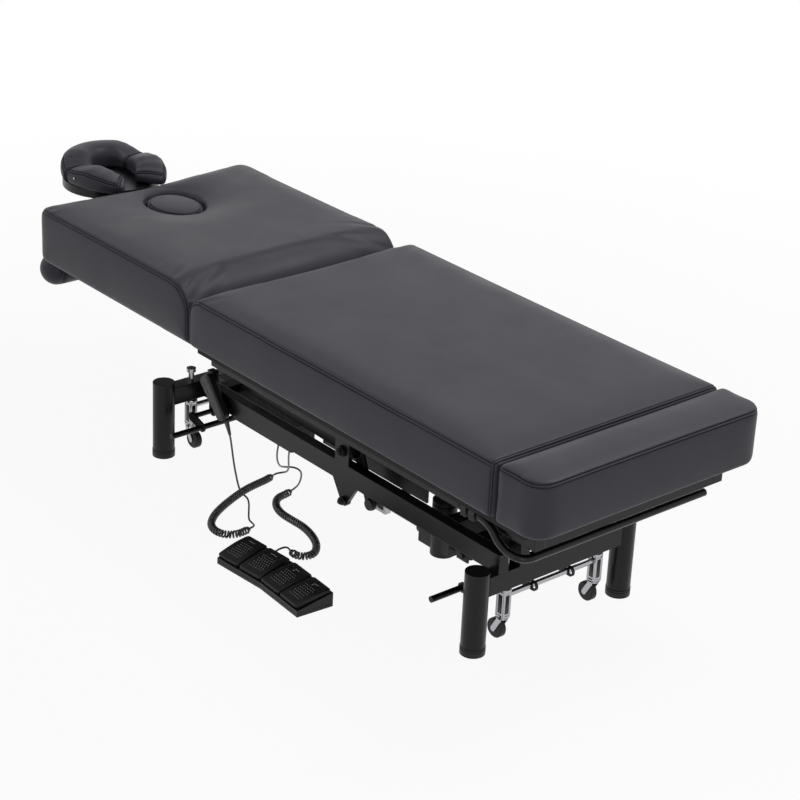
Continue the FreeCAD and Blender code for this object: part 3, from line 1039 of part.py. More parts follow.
def paper_bar():
    """The holder for a paper roll at the foot end, and its clamps."""
    y, z = -BAR_Y, BAR_Z
    route = [
        (BAR_START_X, y, z), (BAR_DIP_X, y, z), (BAR_DIP_X + BAR_DROP, y, z - BAR_DROP),
        (BAR_END_X, y, z - BAR_DROP), (BAR_END_X, BAR_FREE_Y, z - BAR_DROP),
    ]
    save("paper_roll_bar", tube(route, BAR_RADIUS, "paper_roll_bar"))
    clamps = []
    for x in CLAMP_XS:
        clamp = block(x - CLAMP_HALF_LENGTH, x + CLAMP_HALF_LENGTH, y - BAR_RADIUS - CLAMP_WALL,
                      -BED_RAIL_OUTER_Y, z - BAR_RADIUS - CLAMP_WALL, z + BAR_RADIUS + CLAMP_WALL)
        hole = rod_x(x - CLAMP_HALF_LENGTH - CUT_OVERRUN, x + CLAMP_HALF_LENGTH + CUT_OVERRUN, y, z,
                     BAR_RADIUS + PIN_CLEARANCE)
        clamps.append(cut(clamp, [hole]))
    save("bed_frame", clamps)


def casters():
    """Retracted casters on both cross-beams, lowered by a bar that is lifted with the toe."""
    fork_z = CASTER_FOOT_Z - SEAT_GAP
    for end, side in (("head", -1), ("foot", 1)):
        x = side * LEG_X
        pieces = []
        for y in (-CASTER_Y, CASTER_Y):
            channel = block(x - CASTER_CHANNEL_HALF_X, x + CASTER_CHANNEL_HALF_X,
                            y - CASTER_CHANNEL_HALF_Y, y + CASTER_CHANNEL_HALF_Y,
                            CASTER_FOOT_Z, BEAM_BOTTOM - CASTER_CHANNEL_TOP_GAP)
            stem_hole = rod_z(x, y, CASTER_FOOT_Z - CUT_OVERRUN,
                              CASTER_FOOT_Z + CASTER_STEM_DEPTH + CUT_OVERRUN,
                              CASTER_STEM_RADIUS + PIN_CLEARANCE)
            pieces.append(channel.cut(stem_hole))
            pieces.append(rod_z(x, y, BEAM_BOTTOM - CASTER_CHANNEL_TOP_GAP, CASTER_ROD_TOP_Z,
                                CASTER_ROD_RADIUS))
            pieces.append(rod_z(x, y, CASTER_ROD_TOP_Z - CASTER_NUT_HEIGHT, CASTER_ROD_TOP_Z,
                                CASTER_NUT_RADIUS))
        pieces.append(rod_y(x, PEDAL_SHAFT_Z, -CASTER_Y, CASTER_Y, PEDAL_SHAFT_RADIUS))
        save(end + "_caster_carriage", fuse(pieces))
        shaft_x = side * (LEG_X - PEDAL_SHAFT_X_INSET)
        bar_x = shaft_x - side * PEDAL_BAR_REACH
        bar_z = PEDAL_SHAFT_Z - PEDAL_BAR_DROP
        half = PEDAL_SHAFT_HALF_LENGTH
        pedal = [
            rod_y(shaft_x, PEDAL_SHAFT_Z, -half, half, PEDAL_SHAFT_RADIUS),
            rod_y(bar_x, bar_z, -PEDAL_BAR_OUTER_Y, PEDAL_BAR_OUTER_Y, PEDAL_BAR_RADIUS),
        ]
        for y in (-half, half - PEDAL_CRANK_THICK):
            pedal.append(link(shaft_x, PEDAL_SHAFT_Z, bar_x, bar_z, PEDAL_CRANK_HALF,
                              y, y + PEDAL_CRANK_THICK))
        for y in PEDAL_CRANK_YS:
            y0, y1 = y - PEDAL_CRANK_THICK / 2, y + PEDAL_CRANK_THICK / 2
            far = x + side * PEDAL_SLOT_REACH
            crank = link(shaft_x, PEDAL_SHAFT_Z, far, PEDAL_SHAFT_Z, PEDAL_CRANK_HALF, y0, y1)
            slot_half = PEDAL_SHAFT_RADIUS + PEDAL_SLOT_PLAY
            slot = link(x - side * PEDAL_SLOT_PLAY, PEDAL_SHAFT_Z, far, PEDAL_SHAFT_Z, slot_half,
                        y0 - CUT_OVERRUN, y1 + CUT_OVERRUN)
            pedal.append(crank.cut(slot))
        save(end + "_caster_pedal", fuse(pedal))
        hangers = []
        hang_top = BEAM_TOP if side > 0 else BEAM_BOTTOM
        for y in PEDAL_HANGER_YS:
            inner = y - math.copysign(PEDAL_HANGER_THICK, y)
            y0, y1 = min(y, inner), max(y, inner)
            hanger = fuse([
                block(shaft_x - PEDAL_HANGER_HALF, shaft_x + PEDAL_HANGER_HALF, y0, y1,
                      PEDAL_SHAFT_Z, hang_top),
                rod_y(shaft_x, PEDAL_SHAFT_Z, y0, y1, PEDAL_HANGER_HALF),
            ])
            hole = rod_y(shaft_x, PEDAL_SHAFT_Z, y0 - CUT_OVERRUN, y1 + CUT_OVERRUN,
                         PEDAL_SHAFT_RADIUS + PIN_CLEARANCE)
            hangers.append(cut(hanger, [hole]))
        save("pedal_hangers", hangers)
        for label, y in (("near", -CASTER_Y), ("far", CASTER_Y)):
            axle_x = x - side * CASTER_TRAIL
            fork = [
                rod_z(x, y, fork_z - CASTER_FORK_THICK, fork_z, CASTER_FORK_TOP_HALF),
                rod_z(x, y, fork_z, fork_z + CASTER_STEM_DEPTH, CASTER_STEM_RADIUS),
            ]
            inner = CASTER_WHEEL_HALF_WIDTH + CASTER_FORK_GAP
            outer = inner + CASTER_FORK_THICK
            for y0, y1 in ((y - outer, y - inner), (y + inner, y + outer)):
                cheek = link(x, fork_z - CASTER_FORK_CHEEK, axle_x, CASTER_AXLE_Z, CASTER_FORK_CHEEK,
                             y0, y1)
                fork.append(cheek)
            fork.append(rod_y(axle_x, CASTER_AXLE_Z, y - outer, y + outer, CASTER_AXLE_RADIUS))
            save("_".join((end, label, "fork")), fuse(fork))
            wheel = rod_y(axle_x, CASTER_AXLE_Z, y - CASTER_WHEEL_HALF_WIDTH, y + CASTER_WHEEL_HALF_WIDTH,
                          CASTER_WHEEL_RADIUS)
            wheel = wheel.makeChamfer(CASTER_TYRE_EDGE, [e for e in wheel.Edges
                                                         if e.BoundBox.YLength < SEAT_GAP])
            bore = rod_y(axle_x, CASTER_AXLE_Z, y - outer, y + outer, CASTER_AXLE_RADIUS + PIN_CLEARANCE)
            save("_".join((end, label, "wheel")), cut(wheel, [bore]))


def control_box():
    """The box that both cords run to, against the near rail."""
    y0 = -RAIL_INNER_Y
    box = block(BOX_X0, BOX_X1, y0, y0 + BOX_DEPTH, BOX_BOTTOM_Z, BOX_TOP_Z)
    box = box.makeFillet(BOX_EDGE, [e for e in box.Edges if e.BoundBox.ZLength > BOX_EDGE])
    glands = []
    for route, index in ((HANDSET_TAIL, -1), (PEDAL_LEAD_BOX, 0)):
        x, y, z = route[index]
        glands.append(rod_z(x, y, BOX_BOTTOM_Z - GLAND_LENGTH, BOX_BOTTOM_Z + BOX_EDGE, GLAND_RADIUS))
    save("control_box", fuse([box] + glands))


def handset():
    """The hand control, its hook and its four buttons; it leans along the near rail."""
    tilt = math.radians(HANDSET_TILT_DEG)
    down = Vector(math.sin(tilt), 0, -math.cos(tilt))
    side = Vector(math.cos(tilt), 0, math.sin(tilt))
    centre = Vector(HANDSET_CENTRE_X, -HANDSET_Y, HANDSET_CENTRE_Z)
    front = Vector(0, -HANDSET_THICK / 2, 0)
    half = HANDSET_LENGTH / 2

    def at(along, across):
        return centre + front + down * along + side * across

    outline = ring([at(-half, -HANDSET_TOP_HALF), at(-half, HANDSET_TOP_HALF),
                    at(half, HANDSET_END_HALF), at(half, -HANDSET_END_HALF)])
    body = Part.Face(outline).extrude(Vector(0, HANDSET_THICK, 0))
    body = body.makeChamfer(HANDSET_EDGE, [e for e in body.Edges if e.BoundBox.YLength > HANDSET_EDGE])
    start = Vector(*HANDSET_LEAD[0])
    lead = Vector(*HANDSET_LEAD[1]) - start
    lead.normalize()
    relief = Part.makeCone(RELIEF_BASE_RADIUS, CORD_RADIUS + PIN_CLEARANCE, RELIEF_LENGTH,
                           start - lead * RELIEF_LENGTH, lead)
    body = fuse([body, relief])
    wells, buttons = [], []
    for row in HANDSET_BUTTON_ROWS:
        for column in (-HANDSET_BUTTON_COLUMN, HANDSET_BUTTON_COLUMN):
            place = at(row - half, column)
            wells.append(Part.makeCylinder(HANDSET_BUTTON_RADIUS + BUTTON_CLEARANCE,
                                           HANDSET_BUTTON_WELL, place, Y_AXIS))
            buttons.append(Part.makeCylinder(HANDSET_BUTTON_RADIUS, HANDSET_BUTTON_PROUD
                                             + HANDSET_BUTTON_DEPTH,
                                             place - Vector(0, HANDSET_BUTTON_PROUD, 0), Y_AXIS))
            print("button", len(buttons), place)
    save("handset_body", cut(body, wells))
    for i, button in enumerate(buttons):
        save("handset_button_%d" % (i + 1), button)
    hook_y = -RAIL_OUTER_Y - HANDSET_OFFSET_Y + SEAT_GAP
    x0, x1 = HOOK_X - HOOK_HALF_WIDTH, HOOK_X + HOOK_HALF_WIDTH
    top = RAIL_TOP + HOOK_RISE
    hook = fuse([
        block(x0, x1, hook_y, -RAIL_OUTER_Y, BEAM_TOP, top),
        block(x0, x1, hook_y - HOOK_LIP, hook_y, top - HOOK_THICK, top),
    ])
    save("handset_hook", hook)


def foot_control():
    """The floor control of two halves that meet at a slight bend, with four pedals."""
    middle_x = (FOOTCTL_LEFT_X + FOOTCTL_RIGHT_X) / 2
    bend = math.radians(FOOTCTL_BEND_DEG)
    half_width = (FOOTCTL_RIGHT_X - FOOTCTL_LEFT_X) / 2 / math.cos(bend)
    front_y = FOOTCTL_FRONT_Y + half_width * math.sin(bend)
    slope = math.atan((FOOTCTL_BACK_HEIGHT - FOOTCTL_FRONT_HEIGHT) / FOOTCTL_DEPTH)
    bases, wells, pedals = [], [], []
    pitch = half_width / 2
    length = FOOTCTL_DEPTH / math.cos(slope) - FOOTCTL_RIM * 2
    for side in (-1, 1):
        turn = FreeCAD.Placement(Vector(middle_x, front_y, 0),
                                 Rotation(Z_AXIS, -side * FOOTCTL_BEND_DEG))
        u0, u1 = (-FOOTCTL_DEPTH / 4, half_width) if side > 0 else (-half_width, FOOTCTL_DEPTH / 4)
        profile = [Vector(u0, 0, 0), Vector(u0, FOOTCTL_DEPTH, 0),
                   Vector(u0, FOOTCTL_DEPTH, FOOTCTL_BACK_HEIGHT), Vector(u0, 0, FOOTCTL_FRONT_HEIGHT)]
        wedge = Part.Face(ring(profile)).extrude(Vector(u1 - u0, 0, 0))
        wedge.Placement = turn
        far = half_width * 2
        trim = block(middle_x - far, middle_x, -far * 2, far, -CUT_OVERRUN, FOOTCTL_DEPTH)
        if side < 0:
            trim = block(middle_x, middle_x + far, -far * 2, far, -CUT_OVERRUN, FOOTCTL_DEPTH)
        bases.append(wedge.cut(trim))
        tilted = FreeCAD.Placement(Vector(0, 0, FOOTCTL_FRONT_HEIGHT),
                                   Rotation(X_AXIS, math.degrees(slope)))
        for i in range(2):
            a = side * (i * pitch + FOOTCTL_RIDGE / 2 + i * FOOTCTL_RIDGE / 2)
            b = side * ((i + 1) * pitch - FOOTCTL_RIDGE / 2 * (1 - i) - FOOTCTL_RIM * i)
            a, b = min(a, b), max(a, b)
            well = block(a, b, FOOTCTL_RIM, FOOTCTL_RIM + length, -PEDAL_WELL_DEPTH, PEDAL_WELL_DEPTH)
            plate = block(a + PEDAL_GAP, b - PEDAL_GAP, FOOTCTL_RIM + PEDAL_GAP,
                          FOOTCTL_RIM + length - PEDAL_GAP, PEDAL_PROUD - PEDAL_THICK, PEDAL_PROUD)
            pin_v = FOOTCTL_RIM + length - PEDAL_THICK
            pin_w = PEDAL_PROUD - PEDAL_THICK / 2
            pin = rod_x(a - PEDAL_PIN_RADIUS, b + PEDAL_PIN_RADIUS, pin_v, pin_w, PEDAL_PIN_RADIUS)
            pin_hole = rod_x(a - PEDAL_PIN_RADIUS - SEAT_GAP, b + PEDAL_PIN_RADIUS + SEAT_GAP,
                             pin_v, pin_w, PEDAL_PIN_RADIUS + PIN_CLEARANCE)
            placed = turn * tilted
            for shape in (well, plate, pin, pin_hole):
                shape.Placement = placed * shape.Placement
            wells += [well, pin_hole]
            pedals.append((placed.multVec(Vector((a + b) / 2, pin_v, pin_w)).x, fuse([plate, pin])))
            axis = placed.Rotation.multVec(X_AXIS)
            print("pedal", placed.multVec(Vector((a + b) / 2, pin_v, pin_w)), axis)
    end = Vector(*PEDAL_LEAD_FOOT[-1])
    into = end - Vector(*PEDAL_LEAD_FOOT[-2])
    into.normalize()
    gland = rod(end, end + into * (GLAND_LENGTH + CUT_OVERRUN), GLAND_RADIUS)
    save("foot_control_base", cut(fuse(bases + [gland]), wells))
    pedals.sort(key=lambda item: item[0])
    for i, (place, pedal) in enumerate(pedals):
        save("foot_pedal_%d" % (i + 1), pedal)


def shortened(points):
    """The same route, drawn in a little at both ends."""
    points = [Vector(*p) for p in points]
    for end, following in ((0, 1), (-1, -2)):
        inward = points[following] - points[end]
        inward.normalize()
        points[end] = points[end] + inward * CURL_END_GAP
    return [tuple(p) for p in points]


def cords():
    """The two loose cords; the coiled lengths are shown as plain tubes of the coil's outer size."""
    save("handset_cord", [tube(HANDSET_LEAD, CORD_RADIUS, "handset_lead"),
                          tube(HANDSET_TAIL, CORD_RADIUS, "handset_tail")])
    save("handset_curl", tube(shortened(HANDSET_CURL), CURL_RADIUS, "handset_curl"))
    save("pedal_cord", [tube(PEDAL_LEAD_BOX, CORD_RADIUS, "pedal_lead_box"),
                        tube(PEDAL_LEAD_FOOT, CORD_RADIUS, "pedal_lead_foot")])
    save("pedal_curl", tube(shortened(PEDAL_CURL), CURL_RADIUS, "pedal_curl"))


base_frame()
pivot_plates()
lift_arms()
lift_actuator()
bed_frame()
cushions()
back_section()
back_actuator()
bolster()
cradle()
paper_bar()
casters()
control_box()
handset()
foot_control()
cords()
write_parts()
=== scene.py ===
import json
import math

import bmesh
import bpy
from mathutils import Matrix, Vector, bvhtree, kdtree


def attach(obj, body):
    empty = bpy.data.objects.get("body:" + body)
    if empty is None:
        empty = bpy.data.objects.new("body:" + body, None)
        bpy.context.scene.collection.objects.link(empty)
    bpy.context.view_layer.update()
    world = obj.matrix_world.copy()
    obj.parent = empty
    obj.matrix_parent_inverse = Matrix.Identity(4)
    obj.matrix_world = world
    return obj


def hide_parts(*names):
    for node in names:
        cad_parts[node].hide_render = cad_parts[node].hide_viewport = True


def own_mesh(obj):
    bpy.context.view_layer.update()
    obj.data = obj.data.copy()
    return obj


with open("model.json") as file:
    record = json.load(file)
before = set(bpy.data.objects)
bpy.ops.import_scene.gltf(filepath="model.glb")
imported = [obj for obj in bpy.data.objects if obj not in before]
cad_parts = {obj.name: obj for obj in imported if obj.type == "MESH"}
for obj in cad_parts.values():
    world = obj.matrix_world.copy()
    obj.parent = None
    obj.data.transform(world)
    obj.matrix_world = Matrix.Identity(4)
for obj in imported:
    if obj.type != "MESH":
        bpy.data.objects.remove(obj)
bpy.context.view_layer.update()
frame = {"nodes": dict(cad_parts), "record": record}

# Metres in the frame's own axes: +X to the foot end, +Y to the far side, +Z up.
# The built part's origin lies this far from the middle of its base.
SHIFT = Vector((0.2305, 0.059, 0.0))


def at(x, y, z):
    """A point given in millimetres from the middle of the base, as the part's source gives it."""
    return Vector((x, y, z)) / 1000 + SHIFT


# The photograph's view
CAMERA_PLACE = Vector((3.9525, -3.4062, 2.7731)) + SHIFT
CAMERA_RIGHT = Vector((0.63599, 0.77062, 0.04083))
CAMERA_UP = Vector((-0.34589, 0.23737, 0.90775))
CAMERA_BACK = Vector((0.68984, -0.59144, 0.41752))
SENSOR = 36.0
LENS = 102.13
SHIFT_X = 0.0250
SHIFT_Y = -0.0144


def make_camera():
    """The photograph's view, found by fitting the straight edges of the object."""
    data = bpy.data.cameras.new("camera")
    data.lens = LENS
    data.sensor_width = SENSOR
    data.shift_x = SHIFT_X
    data.shift_y = SHIFT_Y
    data.clip_end = 60
    camera = bpy.data.objects.new("camera", data)
    turn = Matrix((CAMERA_RIGHT, CAMERA_UP, CAMERA_BACK)).transposed()
    camera.matrix_world = Matrix.Translation(CAMERA_PLACE) @ turn.to_4x4()
    bpy.context.collection.objects.link(camera)
    bpy.context.scene.camera = camera


# Finishes
def new_material(name):
    """A node material and its main shader."""
    material = bpy.data.materials.new(name)
    material.use_nodes = True
    shader = material.node_tree.nodes["Principled BSDF"]
    return material, material.node_tree, shader


def set_inputs(node, **values):
    """A node with some inputs set; an underscore stands for a space in an input's name."""
    for name, value in values.items():
        node.inputs[name.replace("_", " ")].default_value = value
    return node


def add_node(tree, kind, **values):
    """A new shader node with some inputs set."""
    return set_inputs(tree.nodes.new("ShaderNode" + kind), **values)


def noise(tree, scale, detail=4.0):
    """Noise in object coordinates."""
    coords = add_node(tree, "TexCoord")
    texture = add_node(tree, "TexNoise", Scale=scale, Detail=detail, Roughness=0.55)
    tree.links.new(coords.outputs["Object"], texture.inputs["Vector"])
    return texture.outputs["Fac"]


def add_bump(tree, shader, height, strength, distance):
    """Bump from a height output."""
    bump = add_node(tree, "Bump", Strength=strength, Distance=distance)
    tree.links.new(height, bump.inputs["Height"])
    tree.links.new(bump.outputs["Normal"], shader.inputs["Normal"])
    return bump


def ranged(tree, source, low, high, start=0.0, end=1.0):
    """A value that goes from low to high while its source goes from start to end."""
    span = add_node(tree, "MapRange", From_Min=start, From_Max=end, To_Min=low, To_Max=high)
    tree.links.new(source, span.inputs["Value"])
    return span.outputs["Result"]


def maths(tree, operation, *sources):
    """A sum of outputs of other nodes and plain numbers."""
    node = add_node(tree, "Math")
    node.operation = operation
    for source, slot in zip(sources, node.inputs):
        if isinstance(source, float):
            slot.default_value = source
        else:
            tree.links.new(source, slot)
    return node.outputs["Value"]


def uneven(tree, shader, source, low, high):
    """Vary a shader's roughness with a noise."""
    tree.links.new(ranged(tree, source, low, high, 0.3, 0.7), shader.inputs["Roughness"])


def plain(name, colour, roughness, metallic=0.0, grain=0.0, grain_scale=900.0, specular=0.3,
          edge=0.0):
    """A painted, plated or moulded finish: fine grain, uneven gloss and softly worn edges."""
    material, tree, shader = new_material(name)
    set_inputs(shader, Base_Color=(*colour, 1), Metallic=metallic, Specular_IOR_Level=specular)
    uneven(tree, shader, noise(tree, 14.0), roughness * 0.9, roughness * 1.1)
    if grain:
        bump = add_bump(tree, shader, noise(tree, grain_scale, 2.0), grain, 0.0004)
        if edge:
            rounded = add_node(tree, "Bevel", Radius=edge)
            rounded.samples = 4
            tree.links.new(rounded.outputs["Normal"], bump.inputs["Normal"])
    return material


def leatherette(name, colour, roughness, sheen):
    """Upholstery vinyl: pebbled grain, a soft sheen and slight unevenness."""
    material, tree, shader = new_material(name)
    set_inputs(shader, Base_Color=(*colour, 1), Specular_IOR_Level=0.22, Sheen_Weight=sheen,
               Sheen_Roughness=0.5)
    coords = add_node(tree, "TexCoord")
    pebble = add_node(tree, "TexVoronoi", Scale=620.0)
    pebble.feature = "SMOOTH_F1"
    tree.links.new(coords.outputs["Object"], pebble.inputs["Vector"])
    height = maths(tree, "MULTIPLY_ADD", noise(tree, 1500.0, 2.0), 0.35, pebble.outputs["Distance"])
    add_bump(tree, shader, height, 0.22, 0.0005)
    uneven(tree, shader, noise(tree, 9.0, 3.0), roughness * 0.92, roughness * 1.1)
    return material


VINYL = leatherette("vinyl_dark", (0.045, 0.043, 0.056), roughness=0.44, sheen=0.03)
PAINT = plain("frame_paint_black", (0.005, 0.005, 0.007), 0.3, grain=0.12, edge=0.003, specular=0.26)
PLASTIC = plain("case_plastic_black", (0.007, 0.007, 0.008), 0.42, grain=0.3, grain_scale=1400.0,
                edge=0.0012)
HANDSET_BLACK = plain("handset_plastic_black", (0.018, 0.018, 0.020), 0.42, grain=0.3,
                      grain_scale=1400.0, edge=0.0012)
HANDSET_GREY = plain("handset_plastic_grey", (0.085, 0.085, 0.092), 0.45, grain=0.9, grain_scale=420.0)
BOARD = plain("board_black", (0.010, 0.010, 0.011), 0.75)
STEEL = plain("pin_steel_bright", (0.42, 0.42, 0.43), 0.3, metallic=1.0)
CHROME = plain("chrome_bright", (0.42, 0.42, 0.44), 0.18, metallic=1.0)
WHEEL = plain("wheel_rubber_grey", (0.014, 0.014, 0.016), 0.5)
CORD = plain("cord_rubber_black", (0.007, 0.007, 0.008), 0.26, specular=0.7)
THREAD = plain("thread_black", (0.008, 0.008, 0.009), 0.6)
PALE_THREAD = plain("thread_grey", (0.20, 0.20, 0.21), 0.6)
MARK = plain("mark_pale", (0.5, 0.5, 0.51), 0.6)

SLOT_MATERIALS = {
    "vinyl": VINYL, "frame_paint": PAINT, "board": BOARD, "pin_steel": STEEL, "chrome": CHROME,
    "wheel_rubber": WHEEL, "cap_plastic": PLASTIC, "case_plastic": PLASTIC,
    "handset_plastic": HANDSET_GREY, "cord_rubber": CORD,
}


def dress_frame():
    """Give every CAD node the finish of its material slot."""
    slots = {s["node"]: s["material_slot"] for s in frame["record"]["subparts"]}
    for name, node in frame["nodes"].items():
        node.data.materials.clear()
        node.data.materials.append(SLOT_MATERIALS[slots[name]])


# Cords: the same points as in the part's source
CORD_DIAMETER = 0.0052
CURL_RADIUS = 0.0083
CURL_PITCH = 0.0084
CURL_STEPS = 10
CURL_ENDS = 1.5
HANDSET_LEAD = [
    (-383, -208, 169), (-372, -209, 150), (-361, -211, 118), (-350, -212, 78),
    (-339, -210.5, 40), (-329, -209, 12.5), (-314, -207.5, 3), (-290, -210, 2.8),
    (-262, -226, 2.8), (-226, -254, 2.8), (-190, -281, 3), (-163, -287, 6.5),
    (-143, -297, 11.6), (-139, -314, 11.6),
]
HANDSET_CURL = [
    (-139, -314, 11.6), (-134.3, -334, 11.4), (-133, -358, 11.4), (-145, -384, 11.4),
    (-176, -396, 11.4), (-213, -386, 11.4), (-247, -352, 11.4), (-273, -309, 11.4),
    (-292, -262, 14), (-309, -208, 17.6), (-321, -160, 16), (-334, -110, 11.6),
    (-343, -88, 11.6),
]
HANDSET_TAIL = [
    (-343, -88, 11.6), (-349, -73, 11), (-347, -52, 9), (-329, -50, 18),
    (-307, -62, 42), (-283, -82, 76), (-257, -103, 112), (-236.5, -116, 139),
    (-236, -116, 157.9),
]
PEDAL_LEAD_BOX = [
    (-282, -118, 157.9), (-282.5, -117, 138), (-303, -106, 104), (-326, -88, 66),
    (-350, -60, 29), (-372, -27, 8), (-363, 2, 2.8), (-333, 2, 2.8),
    (-300, -24, 3.4), (-270, -56, 6.2), (-252, -81, 11.6), (-245, -100, 11.6),
]
PEDAL_CURL = [
    (-245, -100, 11.6), (-237.4, -120.6, 11.4), (-234, -156, 11.4), (-201, -186, 11.4),
    (-158, -200, 11.4), (-112, -199, 11.4), (-66, -197, 11.4), (-12, -209, 11.4),
    (33, -231, 11.4), (62, -262, 11.4), (60, -293, 11.4), (34, -308, 11.4),
    (14, -302, 11.6),
]
PEDAL_LEAD_FOOT = [
    (14, -302, 11.6), (-2, -297.2, 11.6), (-10, -303, 11), (-9, -323, 11),
    (0, -342, 12.6), (4, -358, 13),
]


def path_length(points):
    """The length of a line of points."""
    return sum((b - a).length for a, b in zip(points, points[1:]))


def nurbs_curve(name, points, resolution):
    """A curve with one open NURBS spline whose control points are the given ones."""
    data = bpy.data.curves.new(name, "CURVE")
    data.dimensions = "3D"
    spline = data.splines.new("NURBS")
    spline.points.add(len(points) - 1)
    for target, point in zip(spline.points, points):
        target.co = (*point, 1)
    spline.order_u = 3
    spline.use_endpoint_u = True
    spline.resolution_u = resolution
    curve = bpy.data.objects.new(name, data)
    bpy.context.collection.objects.link(curve)
    return curve


def spline_line(points, resolution=16):
    """The smooth line that a route's NURBS spline gives."""
    curve = nurbs_curve("route", points, resolution)
    bpy.context.view_layer.update()
    graph = bpy.context.evaluated_depsgraph_get()
    mesh = bpy.data.meshes.new_from_object(curve.evaluated_get(graph))
    line = [v.co.copy() for v in mesh.vertices]
    bpy.data.meshes.remove(mesh)
    bpy.data.objects.remove(curve)
    return line


def curl_along(points):
    """A helix round a route's spline: its radius grows from nothing at both ends."""
    route = spline_line(points)
    runs = [0.0]
    for a, b in zip(route, route[1:]):
        runs.append(runs[-1] + (b - a).length)
    turns = round(runs[-1] / CURL_PITCH)
    count = turns * CURL_STEPS
    normal, helix, index = Vector((0, 0, 1)), [], 0
    for i in range(count + 1):
        share = i / count
        place = share * runs[-1]
        while index < len(route) - 2 and runs[index + 1] < place:
            index += 1
        span = max(runs[index + 1] - runs[index], 1e-9)
        centre = route[index].lerp(route[index + 1], (place - runs[index]) / span)
        along = (route[index + 1] - route[index]).normalized()
        normal = (normal - along * normal.dot(along)).normalized()
        across = along.cross(normal)
        grow = min(1.0, share * turns / CURL_ENDS, (1 - share) * turns / CURL_ENDS)
        turn = 2 * math.pi * turns * share
        helix.append(centre + (normal * math.cos(turn) + across * math.sin(turn)) * CURL_RADIUS * grow)
    return helix


def make_cord(name, first, curl, last, nodes):
    """One cord in one piece: plain lead, curled length, plain tail."""
    first, last = [at(*p) for p in first], [at(*p) for p in last]
    points = first[:-1] + curl_along([at(*p) for p in curl]) + last[1:]
    cord = nurbs_curve(name, points, 4)
    cord.data.bevel_depth = CORD_DIAMETER / 2
    cord.data.bevel_resolution = 3
    cord.data.use_fill_caps = True
    cord.data.materials.append(CORD)
    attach(cord, "base")
    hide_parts(*nodes)
    path_length(spline_line(points))


make_camera()
dress_frame()
make_cord("handset_lead", HANDSET_LEAD, HANDSET_CURL, HANDSET_TAIL, ("handset_cord", "handset_curl"))
make_cord("pedal_lead", PEDAL_LEAD_BOX, PEDAL_CURL, PEDAL_LEAD_FOOT, ("pedal_cord", "pedal_curl"))


# Upholstery. Sizes in millimetres from the middle of the base, as in the part's source.
SEAM_WELT = 0.0016
SEAM_GROOVE = 0.0032
GROOVE_PLACE = 0.0038
WELT_WIDTH, GROOVE_WIDTH, PULL_WIDTH, SEAM_REACH = 0.0016, 0.0014, 0.006, 0.012
STITCH_PITCH = 0.0048
STITCH_LENGTH = 0.0031
STITCH_RADIUS = 0.00045
STITCH_SHARES = ((-0.5, 0.35), (-0.3, 1.0), (0.3, 1.0), (0.5, 0.35))
SEAM_INSET, SEAM_ASIDE, SKIN = 10.0, 4.0, 2.0
ROW_INSETS = (SEAM_INSET - SEAM_ASIDE, SEAM_INSET + SEAM_ASIDE)
DIMPLE, DIMPLE_REACH, HOLE_ROLL, HOLE_HOLD = 0.014, 0.14, 0.011, 0.03


def arc(turn, count):
    """The cosines and sines of a turn's even steps, from its start to its end."""
    return [(math.cos(turn * i / count), math.sin(turn * i / count)) for i in range(count + 1)]


def circle(count):
    """The cosines and sines of a circle's even steps."""
    return arc(2 * math.pi, count)[:-1]


def closed(line):
    """A line that returns to its start."""
    return line + line[:1]


def mesh_object(name, form, material, smooth=True):
    """A mesh object of a form's points and faces, with one material."""
    verts, faces = form
    mesh = bpy.data.meshes.new(name)
    mesh.from_pydata([tuple(v) for v in verts], [], faces)
    mesh.validate()
    shape = bmesh.new()
    shape.from_mesh(mesh)
    bmesh.ops.recalc_face_normals(shape, faces=shape.faces)
    shape.to_mesh(mesh)
    shape.free()
    mesh.materials.append(material)
    for polygon in mesh.polygons:
        polygon.use_smooth = smooth
    obj = bpy.data.objects.new(name, mesh)
    bpy.context.collection.objects.link(obj)
    return obj


def declared(obj, body, node=None):
    """Put a piece on its body, and hide the node that it stands for."""
    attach(obj, body)
    if node:
        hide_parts(node)
    return obj


def apply_modifiers(obj):
    """Bake every modifier into the mesh."""
    bpy.context.view_layer.update()
    graph = bpy.context.evaluated_depsgraph_get()
    mesh = bpy.data.meshes.new_from_object(obj.evaluated_get(graph))
    old = obj.data
    obj.modifiers.clear()
    obj.data = mesh
    bpy.data.meshes.remove(old)
    mesh.shade_smooth()


def stacked(rings):
    """Points and faces of a closed form through rings with the same number of points."""
    count = len(rings[0])
    verts = [p for ring in rings for p in ring]
    faces = []
    for i in range(len(rings) - 1):
        a, b = i * count, (i + 1) * count
        for j in range(count):
            k = (j + 1) % count
            faces.append((a + j, a + k, b + k, b + j))
    faces.append(tuple(reversed(range(count))))
    faces.append(tuple(range((len(rings) - 1) * count, len(rings) * count)))
    return verts, faces


def gathered(forms):
    """Several closed forms as one set of points and faces."""
    verts, faces = [], []
    for more, polygons in forms:
        low = len(verts)
        verts += more
        faces += [tuple(low + i for i in polygon) for polygon in polygons]
    return verts, faces


